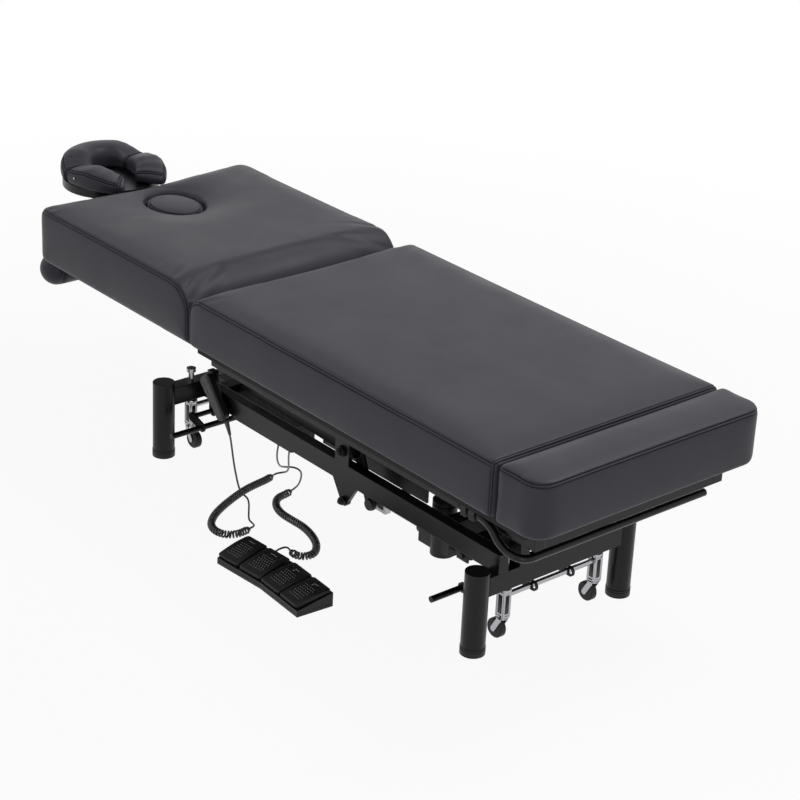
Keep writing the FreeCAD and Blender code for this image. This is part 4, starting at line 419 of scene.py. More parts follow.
def outline_xy(x0, x1, half, corner0, corner1, draw, steps=7, side=24):
    """A rounded rectangle seen from above whose sides draw in between its corners."""
    points = []
    spots = ((x1 - corner1, half - corner1, corner1, 0), (x0 + corner0, half - corner0, corner0, 90),
             (x0 + corner0, -half + corner0, corner0, 180), (x1 - corner1, -half + corner1, corner1, 270))
    inward = (Vector((0, -1)), Vector((1, 0)), Vector((0, 1)), Vector((-1, 0)))
    bends = []
    for cx, cy, radius, start in spots:
        turns = [math.radians(start + 90 * i / steps) for i in range(steps + 1)]
        bends.append([Vector((cx + radius * math.cos(t), cy + radius * math.sin(t))) for t in turns])
    for i, bend in enumerate(bends):
        following = bends[(i + 1) % 4][0]
        points += bend
        for j in range(1, side):
            share = j / side
            points.append(bend[-1].lerp(following, share) + inward[i] * draw * 4 * share * (1 - share))
    return points


def edge_inset(radius, below):
    """How far a rounded edge has drawn in at a depth below the top."""
    return 0.0 if below >= radius else radius - math.sqrt(max(0.0, radius ** 2 - (radius - below) ** 2))


def box_form(x0, x1, half, z0, z1, head, foot, side, corner0, corner1, draw=4.0, tuck=8.0):
    """Rings of a cushion's starting shape: bottom, sides, rolled edges and a flat top."""
    rings = []
    for inset, z in ((tuck, z0), (tuck * 0.35, z0 + tuck * 0.3), (0, z0 + tuck)):
        rings.append((x0 + inset, x1 - inset, half - inset, z))
    largest = max(head, foot, side)
    middle = z1 - largest
    for i in range(1, 5):
        rings.append((x0, x1, half, z0 + tuck + (middle - z0 - tuck) * i / 5))
    for i in range(9):
        below = largest * (1 - math.sin(math.pi / 2 * i / 8))
        rings.append((x0 + edge_inset(head, below), x1 - edge_inset(foot, below),
                      half - edge_inset(side, below), z1 - below))
    return [[at(p.x, p.y, z) for p in outline_xy(a, b, h, corner0, corner1, draw)]
            for a, b, h, z in rings]


def swell(obj, voxel, cap, hold, pressure=4.0, frames=20, tension=15.0):
    """Fill a form with Cloth: even voxels, inner pressure, held where hold() is near 1."""
    remesh = obj.modifiers.new("even", "REMESH")
    remesh.mode = "VOXEL"
    remesh.voxel_size = voxel
    remesh.use_smooth_shade = True
    apply_modifiers(obj)
    relax = obj.modifiers.new("relax", "SMOOTH")
    relax.factor = 0.5
    relax.iterations = 3
    apply_modifiers(obj)
    start = [v.co.copy() for v in obj.data.vertices]
    group = obj.vertex_groups.new(name="held")
    for vertex in obj.data.vertices:
        weight = hold(vertex.co)
        if weight > 0.01:
            group.add([vertex.index], min(1.0, weight), "REPLACE")
    cloth = obj.modifiers.new("fill", "CLOTH")
    settings = cloth.settings
    settings.quality = 5
    settings.mass = 0.4
    settings.tension_stiffness = settings.compression_stiffness = tension
    settings.shear_stiffness = 5.0
    settings.bending_stiffness = 0.6
    settings.use_pressure = True
    settings.uniform_pressure_force = pressure
    settings.effector_weights.gravity = 0.0
    settings.vertex_group_mass = "held"
    settings.pin_stiffness = 1.0
    cloth.collision_settings.use_collision = False
    cloth.collision_settings.use_self_collision = False
    scene = bpy.context.scene
    for i in range(1, frames + 1):
        scene.frame_set(i)
    apply_modifiers(obj)
    for vertex, first in zip(obj.data.vertices, start):
        move = vertex.co - first
        size = move.length
        if size > 1e-7:
            vertex.co = first + move * (cap * math.tanh(size / cap) / size)
    scene.frame_set(1)
    obj.vertex_groups.clear()
    finer = obj.modifiers.new("finer", "SUBSURF")
    finer.levels = 1
    finer.render_levels = 1
    apply_modifiers(obj)


def line_tree(lines):
    """A tree of the points of lines."""
    tree = kdtree.KDTree(sum(len(line) for line in lines))
    index = 0
    for line in lines:
        for point in line:
            tree.insert(point, index)
            index += 1
    tree.balance()
    return tree


def refine(obj, tree, reach, rounds=2):
    """Split the faces near lines, so that a seam can be drawn finely there."""
    for i in range(rounds):
        shape = bmesh.new()
        shape.from_mesh(obj.data)
        near = [e for e in shape.edges
                if tree.find((e.verts[0].co + e.verts[1].co) / 2)[2] < reach * (1 - 0.25 * i)]
        bmesh.ops.subdivide_edges(shape, edges=near, cuts=1, use_grid_fill=True)
        wide = [f for f in shape.faces if len(f.verts) > 4]
        bmesh.ops.triangulate(shape, faces=wide)
        shape.to_mesh(obj.data)
        shape.free()


def press_seams(obj, lines, welt=SEAM_WELT, groove=SEAM_GROOVE):
    """Sew seams into a surface: a low welt between two grooves."""
    graph = bpy.context.evaluated_depsgraph_get()
    surface = bvhtree.BVHTree.FromObject(obj, graph)
    laid = []
    for line in lines:
        found = [surface.find_nearest(point)[0] for point in line]
        laid.append([point for point in found if point is not None])
    tree = line_tree(laid)
    refine(obj, tree, SEAM_REACH)
    normals = [v.normal.copy() for v in obj.data.vertices]
    for vertex, normal in zip(obj.data.vertices, normals):
        distance = tree.find(vertex.co)[2]
        if distance < SEAM_REACH:
            rise = welt * math.exp(-(distance / WELT_WIDTH) ** 2)
            fall = groove * math.exp(-((distance - GROOVE_PLACE) / GROOVE_WIDTH) ** 2)
            pull = groove * 0.5 * math.exp(-(distance / PULL_WIDTH) ** 2)
            vertex.co += normal * (rise - fall - pull)


def dense(points, step=0.0015):
    """The same line with points no further apart than a step."""
    out = [points[0]]
    for a, b in zip(points, points[1:]):
        count = max(1, math.ceil((b - a).length / step))
        out += [a.lerp(b, i / count) for i in range(1, count + 1)]
    return out


def onto(obj, line, outward, reach=0.03):
    """A line laid on an object's surface, cast inward from outside; with the surface's normals."""
    graph = bpy.context.evaluated_depsgraph_get()
    surface = bvhtree.BVHTree.FromObject(obj, graph)
    found = []
    for point in line:
        away = outward(point).normalized()
        place, normal, _, _ = surface.ray_cast(point + away * reach, -away, reach * 2)
        if place is not None:
            found.append((place, normal))
    return found


def stitch(centre, along, normal):
    """One stitch: a short capsule that lies along a seam."""
    across = along.cross(normal).normalized()
    up = across.cross(along)
    return stacked([[centre + along * STITCH_LENGTH * offset
                     + (across * x + up * y) * STITCH_RADIUS * size for x, y in circle(6)]
                    for offset, size in STITCH_SHARES])


def stitches(name, obj, lines, outward, body, material=THREAD, lift=0.0001):
    """Rows of thread lying on a surface, one short capsule for each stitch."""
    forms = []
    for line in lines:
        laid = onto(obj, dense(line, 0.0012), outward)
        run, next_start = 0.0, STITCH_PITCH / 2
        for (a, normal), (b, _) in zip(laid, laid[1:]):
            size = (b - a).length
            if size < 1e-6 or size > 0.01:
                continue
            while run + size >= next_start:
                centre = a.lerp(b, (next_start - run) / size) + normal * lift
                forms.append(stitch(centre, (b - a).normalized(), normal))
                next_start += STITCH_PITCH
            run += size
    return declared(mesh_object(name, gathered(forms), material), body)


def side_profile(cushion, head, foot, inset):
    """The seam between top and side panels, seen from the side: up, round, along, round, down."""
    x0, x1, _, z0, z1 = cushion
    a, b, top = x0 + inset, x1 - inset, z1 - inset
    r0, r1 = max(head - inset, 4.0), max(foot - inset, 4.0)
    points = [(a, z0 + 10)]
    for middle, radius, start in ((a + r0, r0, 180), (b - r1, r1, 90)):
        for i in range(13):
            turn = math.radians(start - 90 * i / 12)
            points.append((middle + radius * math.cos(turn), top - radius + radius * math.sin(turn)))
    return points + [(b, z0 + 10)]


def side_rows(cushion, head, foot, out, insets):
    """Lines along both side seams of a cushion, at some insets from its edge."""
    return [[at(x, side * out, z) for x, z in side_profile(cushion, head, foot, inset)]
            for side in (-1, 1) for inset in insets]


def near_hold(lines, reach):
    """A hold that is 1 on the lines and fades to 0 at a distance."""
    tree = line_tree([dense(line, 0.004) for line in lines])
    return lambda place: max(0.0, 1.0 - tree.find(place)[2] / reach)


def sewn_hold(lines, reach, base, z0):
    """A hold on the seams, on the edge of the underside and on the underside."""
    seam_hold, base_hold = near_hold(lines, reach), near_hold([closed(base)], 0.03)
    floor = at(0, 0, z0 + 4).z
    return lambda place: 1.0 if place.z < floor else max(seam_hold(place) * 0.95, base_hold(place))


def low_hold(lines, reach, z):
    """A hold on the seams and on all that lies below a height."""
    seam_hold, level = near_hold(lines, reach), at(0, 0, z).z
    return lambda place: 1.0 if place.z < level else seam_hold(place)


def sideways(point):
    """Outward from a side panel."""
    return Vector((0, 1 if point.y > SHIFT.y else -1, 0))


def table_cushion(name, cushion, head, foot, corner0, corner1, holes=(), across=False):
    """The start of a long cushion: side panels sewn to a top that wraps over both ends."""
    x0, x1, half, z0, z1 = cushion
    rings = box_form(x0 + 1.5, x1 - 1.5, half - SKIN, z0 + 0.5, z1 - 1.0, head, foot, 9.0,
                     corner0, corner1, draw=2.0)
    obj = mesh_object(name, stacked(rings), VINYL)
    for cutter in holes:
        knife = obj.modifiers.new("hole", "BOOLEAN")
        knife.operation = "DIFFERENCE"
        knife.solver = "EXACT"
        knife.object = cutter
        apply_modifiers(obj)
    lines = side_rows(cushion, head, foot, half - SKIN + 0.5, (SEAM_INSET,))
    if across:
        lines.append([at(x1 - SEAM_INSET, y, z1) for y in range(int(6 - half), int(half), 12)])
    base = [at(p.x, p.y, z0) for p in outline_xy(x0 + 9, x1 - 9, half - 13, corner0, corner1, 4.0)]
    return obj, lines, sewn_hold(lines, 0.016, base, z0)


def finish_cushion(obj, node, body, lines, cap, voxel, hold, shape_after=None):
    """Simulate, sew and declare one padded piece."""
    swell(obj, voxel, cap, hold)
    if shape_after:
        shape_after(obj)
    press_seams(obj, [dense(line) for line in lines])
    obj.data.shade_smooth()
    declared(obj, body, node)


SEAT = (-366.0, 791.0, 360.0, 450.0, 593.0)
SEAT_HEAD, SEAT_FOOT = 54.0, 9.0
FOOT = (793.0, 937.0, 361.0, 450.0, 596.0)
FOOT_EDGE, FOOT_CORNER = 11.0, 50.0
BACK = (-1091.0, -370.0, 349.0, 444.0, 604.0)
BACK_HEAD, BACK_FOOT = 26.0, 84.0
HOLE_X, HOLE_HALF_X, HOLE_HALF_Y = -928.0, 96.0, 77.0


def oval(inset, z, count=64, share=1.0):
    """The breathing hole's oval, drawn in by an inset or a share of its size."""
    half_x, half_y = HOLE_HALF_X * share - inset, HOLE_HALF_Y * share - inset
    return [at(HOLE_X + half_x * x, half_y * y, z) for x, y in circle(count)]


def upward(_):
    """Outward from a top."""
    return Vector((0, 0, 1))


def make_seat():
    """The long seat cushion, its top sewn along both sides and at the foot end."""
    _, x1, half, z0, z1 = SEAT
    obj, lines, hold = table_cushion("seat_pad", SEAT, SEAT_HEAD, SEAT_FOOT, 16.0, 14.0, across=True)
    finish_cushion(obj, "seat_cushion", "bed", lines, cap=0.008, voxel=0.009, hold=hold)
    rows = side_rows(SEAT, SEAT_HEAD, SEAT_FOOT, half, ROW_INSETS)
    foot_row = [at(x1 - SEAM_INSET - SEAM_ASIDE, y, z1 + 4.0) for y in range(-348, 349, 12)]
    for piece in (obj, stitches("seat_side_stitches", obj, rows, sideways, "bed"),
                  stitches("seat_foot_stitches", obj, [foot_row], upward, "bed", PALE_THREAD)):
        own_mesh(piece)


def make_foot():
    """The short cushion at the foot end, with a welt round the edge of its top."""
    x0, x1, half, z0, z1 = FOOT
    rings = box_form(x0 + 1.0, x1 - 4.0, half - SKIN, z0 + 0.5, z1 - 1.0, FOOT_EDGE, FOOT_EDGE, FOOT_EDGE,
                     14.0, FOOT_CORNER, draw=2.0)
    obj = mesh_object("foot_pad", stacked(rings), VINYL)
    around = outline_xy(x0 + 1.0, x1 - 4.0, half - SKIN, 14.0, FOOT_CORNER, 2.0)
    line = [at(p.x, p.y, z1 - SEAM_INSET) for p in closed(around)]
    base = [at(p.x, p.y, z0) for p in outline_xy(x0 + 9, x1 - 12, half - 13, 14.0, FOOT_CORNER - 4, 2.0)]
    finish_cushion(obj, "foot_cushion", "bed", [line], cap=0.007, voxel=0.008,
                   hold=sewn_hold([line], 0.014, base, z0))
    centre = at((x0 + x1) / 2, 0, 0)

    def outward(point):
        away = Vector((point.x - centre.x, 0, 0))
        if abs(point.y - SHIFT.y) > (half - FOOT_CORNER) / 1000:
            away.y = point.y - SHIFT.y - math.copysign((half - FOOT_CORNER - 6) / 1000, point.y - SHIFT.y)
        return away if away.length > 1e-4 else Vector((1, 0, 0))

    rows = [[Vector((p.x, p.y, p.z + shift)) for p in line] for shift in (0.004, -0.004)]
    stitches("foot_stitches", obj, rows, outward, "bed")


def hole_distance(place):
    """How far outside the breathing hole's oval a place lies, seen from above."""
    x, y = place.x - at(HOLE_X, 0, 0).x, place.y - SHIFT.y
    scale = math.hypot(x / (HOLE_HALF_X / 1000), y / (HOLE_HALF_Y / 1000))
    return math.hypot(x, y) * (1 - 1 / scale) if scale > 1e-6 else -0.08


def make_back():
    """The back cushion, dimpled toward the breathing hole."""
    _, _, half, z0, z1 = BACK
    knife = mesh_object("knife", stacked([oval(0.0, z0 - 20), oval(0.0, z1 + 20)]), BOARD)
    obj, lines, hold = table_cushion("back_pad", BACK, BACK_HEAD, BACK_FOOT, 32.0, 14.0, holes=(knife,))
    bpy.data.objects.remove(knife)

    def held(place):
        distance = hole_distance(place)
        return max(hold(place), 1 - abs(distance) / HOLE_HOLD)

    def dimple(piece):
        top = at(0, 0, z1 - 30).z
        for vertex in piece.data.vertices:
            distance = hole_distance(vertex.co)
            if vertex.co.z > top and -0.006 < distance < DIMPLE_REACH:
                share = 1 - max(distance, 0.0) / DIMPLE_REACH
                height = min(1.0, (vertex.co.z - top) / 0.02)
                rolled = max(0.0, 1 - max(distance, 0.0) / HOLE_ROLL) ** 2
                vertex.co.z -= (DIMPLE * share ** 1.8 + HOLE_ROLL * 0.7 * rolled) * height

    finish_cushion(obj, "back_cushion", "back", lines, cap=0.008, voxel=0.009, hold=held,
                   shape_after=dimple)
    rows = side_rows(BACK, BACK_HEAD, BACK_FOOT, half, ROW_INSETS)
    stitches("back_side_stitches", obj, rows, sideways, "back")


PLUG_DROP, PLUG_GAP, PLUG_EDGE = 11.0, 5.5, 8.0
PLUG_CROWN = ((0.7, 4.5), (0.4, 6.5), (0.15, 7.0))


def make_plug():
    """The lift-out plug: a crowned top sewn to an oval band."""
    z0, z1 = BACK[3] + 0.6, BACK[4] - PLUG_DROP
    rings = [oval(PLUG_EDGE, z0, 72), oval(PLUG_GAP, z0 + 4.0, 72)]
    for z in range(int(z0) + 20, int(z1) - 16, 18):
        rings.append(oval(PLUG_GAP, z, 72))
    for c, s in arc(math.pi / 2, 6):
        rings.append(oval(PLUG_GAP + PLUG_EDGE * (1 - c), z1 - 16.0 + 9.0 * s, 72))
    for share, rise in PLUG_CROWN:
        rings.append(oval(0.0, z1 - 7.0 + rise, 72, share))
    obj = mesh_object("plug_pad", stacked(rings), VINYL)
    line = closed(oval(PLUG_GAP + 4.0, z1 - 9.0, 96))
    finish_cushion(obj, "face_plug", "plug", [line], cap=0.005, voxel=0.0055,
                   hold=low_hold([line], 0.010, z1 - 26))
    stitches("plug_stitches", obj, [closed(oval(PLUG_GAP + 9.0, z1 + 5, 96))], upward, "plug")


CRADLE_X, CRADLE_RING, CRADLE_PAD = -1250.0, 98.0, 48.0
CRADLE_Z, CRADLE_FLAT, CRADLE_REACH = 600.0, 24.0, 146.0
CRADLE_SKIN, CRADLE_SEAM_UP, CRADLE_SEAM_OUT = 3.0, 33.0, 43.0


def softly(value, power=0.72):
    """A cosine or sine pushed outward, for a boxy section."""
    return math.copysign(abs(value) ** power, value)


def cradle_place(turn_deg, out):
    """A place on the horseshoe's line, moved outward, in millimetres, and the way outward."""
    turn = math.radians(turn_deg)
    reach = CRADLE_RING if math.cos(turn) < 0 else CRADLE_REACH
    along = Vector((reach * math.cos(turn), CRADLE_RING * math.sin(turn)))
    across = Vector((math.cos(turn) / reach, math.sin(turn) / CRADLE_RING)).normalized()
    return Vector((CRADLE_X, 0)) + along + across * out, across


CREST_HALF_DEG, CHEEK_END_DEG = 82.0, 24.0
CREST_TOP_SHARES = ((0.0, 1.0), (0.5, 0.98), (0.64, 0.86), (0.76, 0.64), (0.9, 0.36), (1.0, 0.26))
CHEEK_TOP_SHARES = ((0.0, 0.3), (0.14, 0.56), (0.4, 0.75), (0.6, 0.62), (0.82, 0.36), (1.0, 0.12))


def share_at(table, place):
    """A value read from a table of places and shares, eased between its rows."""
    for (a, low), (b, high) in zip(table, table[1:]):
        if place <= b:
            step = (place - a) / (b - a)
            return low + (high - low) * step * step * (3 - 2 * step)
    return table[-1][1]


def cradle_top(turn_deg):
    """How high the pads stand at a place of the horseshoe: full at the crest's middle."""
    away = abs(turn_deg % 360 - 180)
    if away <= CREST_HALF_DEG:
        return share_at(CREST_TOP_SHARES, away / CREST_HALF_DEG)
    span = 180 - CHEEK_END_DEG - CREST_HALF_DEG
    return share_at(CHEEK_TOP_SHARES, min(1.0, (away - CREST_HALF_DEG) / span))


def cradle_ring(turn_deg, shrink, count=44):
    """A section of the cradle's pad: boxy and soft, flat underneath."""
    points = []
    radius = CRADLE_PAD - shrink
    top = cradle_top(turn_deg)
    for c, s in circle(count):
        up = max(radius * softly(s), -CRADLE_FLAT + shrink * 0.6)
        if up > 0:
            up *= top
        place, _ = cradle_place(turn_deg, radius * softly(c))
        points.append(at(place.x, place.y, CRADLE_Z + up))
    return points


def cradle_wall_line(start, end, out, shift=0.0, step=3.0):
    """A line along the pads at one place of their section."""
    count = max(4, round(abs(end - start) / step))
    line = []
    for i in range(count + 1):
        turn = start + (end - start) * i / count
        place, _ = cradle_place(turn, out)
        line.append(at(place.x, place.y, CRADLE_Z + CRADLE_SEAM_UP * cradle_top(turn) + shift))
    return line


def cap_rings(turn_deg, degree, size):
    """A pad's rounded end: rings from its full section out to its narrow last one."""
    return [cradle_ring(turn_deg + degree * size * (1 - s), CRADLE_SKIN + size * (1 - c))
            for c, s in arc(math.pi / 2, 5)]


def cradle_outward(point):
    """Outward from the middle of a cradle pad's section."""
    flat = Vector((point.x - at(CRADLE_X, 0, 0).x, point.y - SHIFT.y, 0)).normalized()
    return point - at(CRADLE_X, 0, CRADLE_Z) - flat * (CRADLE_RING / 1000)


def make_cradle_pad(name, start, end, first, last, node=None):
    """One of the cradle's three pads, with sewn caps at its ends."""
    degree = math.degrees(1 / CRADLE_RING)
    low, high = start + degree * first, end - degree * last
    steps = max(6, round((end - start) / 4))
    rings = [cradle_ring(start, 30.0)] + cap_rings(start, degree, first)[::-1]
    rings += [cradle_ring(low + (high - low) * i / steps, CRADLE_SKIN) for i in range(1, steps)]
    rings += cap_rings(end, -degree, last) + [cradle_ring(end, 30.0)]
    obj = mesh_object(name, stacked(rings), VINYL)
    caps = (start + degree * first * 0.8, end - degree * last * 0.8)
    lines = [closed(cradle_ring(turn, CRADLE_SKIN + 0.5, 72)) for turn in caps]
    lines.append(cradle_wall_line(low, high, CRADLE_SEAM_OUT))
    base = CRADLE_Z - CRADLE_FLAT + 4
    finish_cushion(obj, node, "cradle_head", lines, cap=0.005, voxel=0.005,
                   hold=low_hold(lines, 0.012, base))
    floor = at(0, 0, base).z
    rows = [[p for p in cradle_ring(turn, 0.0, 72) if p.z > floor]
            for turn in (start + degree * (first * 0.8 + 5), end - degree * (last * 0.8 + 5))]
    for shift in (-SEAM_ASIDE, SEAM_ASIDE):
        rows.append(cradle_wall_line(low, high, CRADLE_SEAM_OUT + 3.0, shift))
    stitches(name + "_stitches", obj, rows, cradle_outward, "cradle_head")


def make_cradle():
    """Crest and both cheeks of the face cradle, with a press stud on each side."""
    make_cradle_pad("cradle_crest", 180 - CREST_HALF_DEG, 180 + CREST_HALF_DEG, 7.0, 7.0, "cradle_pads")
    start, end = 181 + CREST_HALF_DEG, 360 - CHEEK_END_DEG
    make_cradle_pad("cradle_cheek_far", 360 - end, 360 - start, 14.0, 7.0)
    make_cradle_pad("cradle_cheek_near", start, end, 7.0, 14.0)
    for turn in (80.0, 280.0):
        make_stud("cradle_stud", turn)


STUD_RADIUS, STUD_RISE = 3.2, 1.4
STUD_SHARES = ((0.95, -3.0), (1.0, 0.0), (0.97, 0.35), (0.8, 0.75), (0.5, 0.93), (0.15, 1.0))


def make_stud(name, turn_deg):
    """A small domed press stud on the outer wall of a cheek."""
    place, across = cradle_place(turn_deg, CRADLE_PAD - 0.5)
    along = Vector((-across.y, across.x))
    rings = []
    for share, out in STUD_SHARES:
        size, ring = STUD_RADIUS * share, []
        for c, s in circle(16):
            spot = place + along * size * c + across * (STUD_RISE * out if out > 0 else out)
            ring.append(at(spot.x, spot.y, CRADLE_Z + 2.0 + size * s))
        rings.append(ring)
    declared(mesh_object(name, stacked(rings), CHROME), "cradle_head")


ROLL_X, ROLL_Z, ROLL_RADIUS, ROLL_HALF = -1146.0, 378.7, 50.0, 251.0


def roll_ring(y, size):
    """A round section of the arm roll."""
    return [at(ROLL_X + size * c, y, ROLL_Z + size * s) for c, s in circle(40)]


def roll_outward(point):
    """Outward from the arm roll's axis."""
    return Vector((point.x - SHIFT.x - ROLL_X / 1000, 0, point.z - ROLL_Z / 1000))


def make_roll():
    """The arm roll with ball ends, each sewn on with a round seam."""
    radius, tube, ball = ROLL_RADIUS - 2.5, 26, arc(math.pi / 2, 10)[1:-1]
    rings = [roll_ring(-ROLL_HALF - radius * c, radius * s) for c, s in ball]
    rings += [roll_ring(-ROLL_HALF + 2 * ROLL_HALF * i / tube, radius) for i in range(tube + 1)]
    rings += [roll_ring(ROLL_HALF + radius * c, radius * s) for c, s in reversed(ball)]
    obj = mesh_object("arm_roll", stacked(rings), VINYL)
    lines = [closed(roll_ring(y, radius)) for y in (-ROLL_HALF, ROLL_HALF)]
    lines.append([at(ROLL_X, y, ROLL_Z - radius) for y in (-ROLL_HALF, ROLL_HALF)])
    seam_hold, top = near_hold(lines, 0.012), at(0, 0, ROLL_Z + radius - 3.0).z
    finish_cushion(obj, "arm_bolster", "back", lines, cap=0.004, voxel=0.0055,
                   hold=lambda place: 1.0 if place.z > top else seam_hold(place))
    rows = [closed(roll_ring(end + aside, radius)) for end in (-ROLL_HALF, ROLL_HALF)
            for aside in (-SEAM_ASIDE, SEAM_ASIDE)]
    stitches("arm_roll_stitches", obj, rows, roll_outward, "back")


make_seat()
make_foot()
make_back()
make_plug()
make_cradle()
make_roll()


# Foot control: crowned lids over the plain pedal plates, fins between them, studs and marks
CONTROL_LEFT, CONTROL_RIGHT, CONTROL_FRONT = -55.0, 270.0, -478.0
CONTROL_DEPTH, CONTROL_BACK, CONTROL_LOW, CONTROL_BEND = 104.0, 38.0, 17.0, math.radians(4.0)
CONTROL_RIM, CONTROL_RIDGE, LID_GAP = 5.0, 7.0, 1.2
LID_CORNER, LID_CROWN, LID_TOP, LID_FRONT = 3.5, 3.6, 10.4, 3.0
LID_LIP, LID_CLEAR = 1.5, {3.1: 1.8, 3.5: 1.8, 5.4: 0.5}
LID_RINGS = (
    (0.6, -3.6), (0.0, -3.0), (0.0, 3.0), (0.0, 3.1), (-3.2, 3.1), (-3.8, 3.5), (-3.8, 5.4), (-3.4, 5.9),
    (-2.8, 6.1), (-2.8, 6.5), (-3.4, 6.8), (-3.4, 9.3), (-2.8, 10.1), (-1.6, 10.4), (5.0, 10.4),
    (11.0, 10.4), (18.0, 10.4), (25.0, 10.4), (29.0, 10.4),
)
DOT_ROWS, DOT_COLUMNS, DOT_RADIUS, DOT_RISE = 7, 6, 1.3, 0.7
DOT_SHARES = ((1.0, -0.4), (1.0, 0.0), (0.75, 0.7), (0.3, 1.0))
BAR_MARK = ((0.30, 0.84, 0.32, 0.022),)
ANGLE_MARK = ((0.40, 0.84, 0.22, 0.022), (0.40, 0.74, 0.03, 0.10))
SKIRT_SECTION = ((-0.6, 8.4), (0.5, 8.2), (0.5, 7.2), (-0.6, 6.8))


def control_frame(side):
    """The tilted, turned frame of one half of the foot control."""
    middle = (CONTROL_LEFT + CONTROL_RIGHT) / 2
    half = (CONTROL_RIGHT - CONTROL_LEFT) / 2 / math.cos(CONTROL_BEND)
    front = CONTROL_FRONT + half * math.sin(CONTROL_BEND)
    slope = math.atan((CONTROL_BACK - CONTROL_LOW) / CONTROL_DEPTH)
    place = (Matrix.Translation((middle, front, 0)) @ Matrix.Rotation(-side * CONTROL_BEND, 4, "Z")
             @ Matrix.Translation((0, 0, CONTROL_LOW)) @ Matrix.Rotation(slope, 4, "X"))
    return place, half, CONTROL_DEPTH / math.cos(slope) - CONTROL_RIM * 2


def lid_rise(v, length):
    """How far a lid crowns above its edge, front to back."""
    share = min(1.0, max(0.0, v / length))
    return LID_CROWN * math.sin(math.pi * share ** 1.25) ** 0.8


def lid_top(v, length):
    """The height of a lid's top, front to back."""
    return LID_TOP + LID_FRONT * (1 - v / length) + lid_rise(v, length)


def lid_spot(place, u, v, w):
    """A point of a lid in the frame's axes."""
    spot = place @ Vector((u, v, w))
    return at(spot.x, spot.y, spot.z)


def rounded_ring(u0, u1, v0, v1, corner, steps=4, side=10):
    """A rounded rectangle as (u, v) points."""
    points = []
    for cu, cv, start in ((u1 - corner, v1 - corner, 0), (u0 + corner, v1 - corner, 90),
                          (u0 + corner, v0 + corner, 180), (u1 - corner, v0 + corner, 270)):
        for i in range(steps + 1):
            turn = math.radians(start + 90 * i / steps)
            points.append(Vector((cu + corner * math.cos(turn), cv + corner * math.sin(turn))))
    out = []
    for a, b in zip(points, points[1:] + points[:1]):
        count = side if (b - a).length > corner else 1
        out += [a.lerp(b, i / count) for i in range(count)]
    return out


def lid_ring(place, u0, u1, v0, v1, inset, w):
    """One ring of a lid, at an inset from the pedal's edge and a height that crowns toward the top."""
    low = v0 + inset * (LID_LIP if inset < 0 else 1)
    corner = max(1.5, LID_CORNER - inset)
    grown = max(0.0, min(1.0, (w - 3.0) / 4.0))
    ring = []
    for p in rounded_ring(u0 + inset, u1 - inset, low, v1 - inset, corner):
        front = (LID_FRONT + LID_CLEAR.get(w, 0.0)) * (1 - (p.y - v0) / (v1 - v0)) if w > 3.0 else 0.0
        ring.append(lid_spot(place, p.x, p.y, w + front + grown * lid_rise(p.y - v0, v1 - v0)))
    return ring


def make_lid(index, place, a, b, length):
    """One pedal: a stepped, crowned lid with studs and a raised mark."""
    u0, u1 = a + LID_GAP, b - LID_GAP
    v0, v1 = CONTROL_RIM + LID_GAP, CONTROL_RIM + length - LID_GAP
    across, along, node = u1 - u0, v1 - v0, "foot_pedal_%d" % index
    rings = [lid_ring(place, u0, u1, v0, v1, inset, w) for inset, w in LID_RINGS]
    declared(mesh_object("pedal_lid_%d" % index, stacked(rings), PLASTIC), node, node)
    forms = []
    for row in range(DOT_ROWS):
        for column in range(DOT_COLUMNS):
            u = u0 + across * (0.2 + 0.6 * (column + 0.5 * (row % 2)) / (DOT_COLUMNS - 0.5))
            v = v0 + along * (0.17 + 0.5 * row / (DOT_ROWS - 1))
            top = lid_top(v - v0, along)
            forms.append(stacked([[lid_spot(place, u + DOT_RADIUS * size * c, v + DOT_RADIUS * size * s,
                                            top + DOT_RISE * rise) for c, s in circle(8)]
                                  for size, rise in DOT_SHARES]))
    for u_share, v_share, u_size, v_size in ANGLE_MARK if index > 2 else BAR_MARK:
        ring = rounded_ring(u0 + across * u_share, u0 + across * (u_share + u_size),
                            v0 + along * v_share, v0 + along * (v_share + v_size), 0.6, 2, 4)
        forms.append(stacked([[lid_spot(place, p.x, p.y, lid_top(p.y - v0, along) + rise) for p in ring]
                              for rise in (-0.4, 0.35)]))
    declared(mesh_object("pedal_studs_%d" % index, gathered(forms), MARK), node)


def make_fin(name, place, u, length, half=1.3):
    """A low curved fin on the base beside a lid."""
    rings = []
    for i in range(25):
        share = i / 24
        v = CONTROL_RIM + length * share
        crown = 6.0 + lid_rise(length * share, length) * 0.9 if 0 < i < 24 else 1.0
        ring = [(-half, -1.0), (half, -1.0), (half, crown - half), (half * 0.6, crown - half * 0.3),
                (0.0, crown), (-half * 0.6, crown - half * 0.3), (-half, crown - half)]
        rings.append([lid_spot(place, u + du, v, w) for du, w in ring])
    declared(mesh_object(name, stacked(rings), PLASTIC), "base")


def make_skirt():
    """A shallow lip round the foot of the control's case."""
    for side in (-1, 1):
        place, half, _ = control_frame(side)
        flat = (Matrix.Translation((place.translation.x, place.translation.y, 0))
                @ Matrix.Rotation(-side * CONTROL_BEND, 4, "Z"))
        far = side * half
        path = ((0, 0, 0, -1), (far, 0, side * 0.7, -0.7), (far, CONTROL_DEPTH, side, 0))
        rings = [[lid_spot(flat, u + du * reach, v + dv * reach, z) for reach, z in SKIRT_SECTION]
                 for u, v, du, dv in path]
        declared(mesh_object("control_lip_%d" % (side + 2), stacked(rings), PLASTIC, smooth=False),
                 "base")


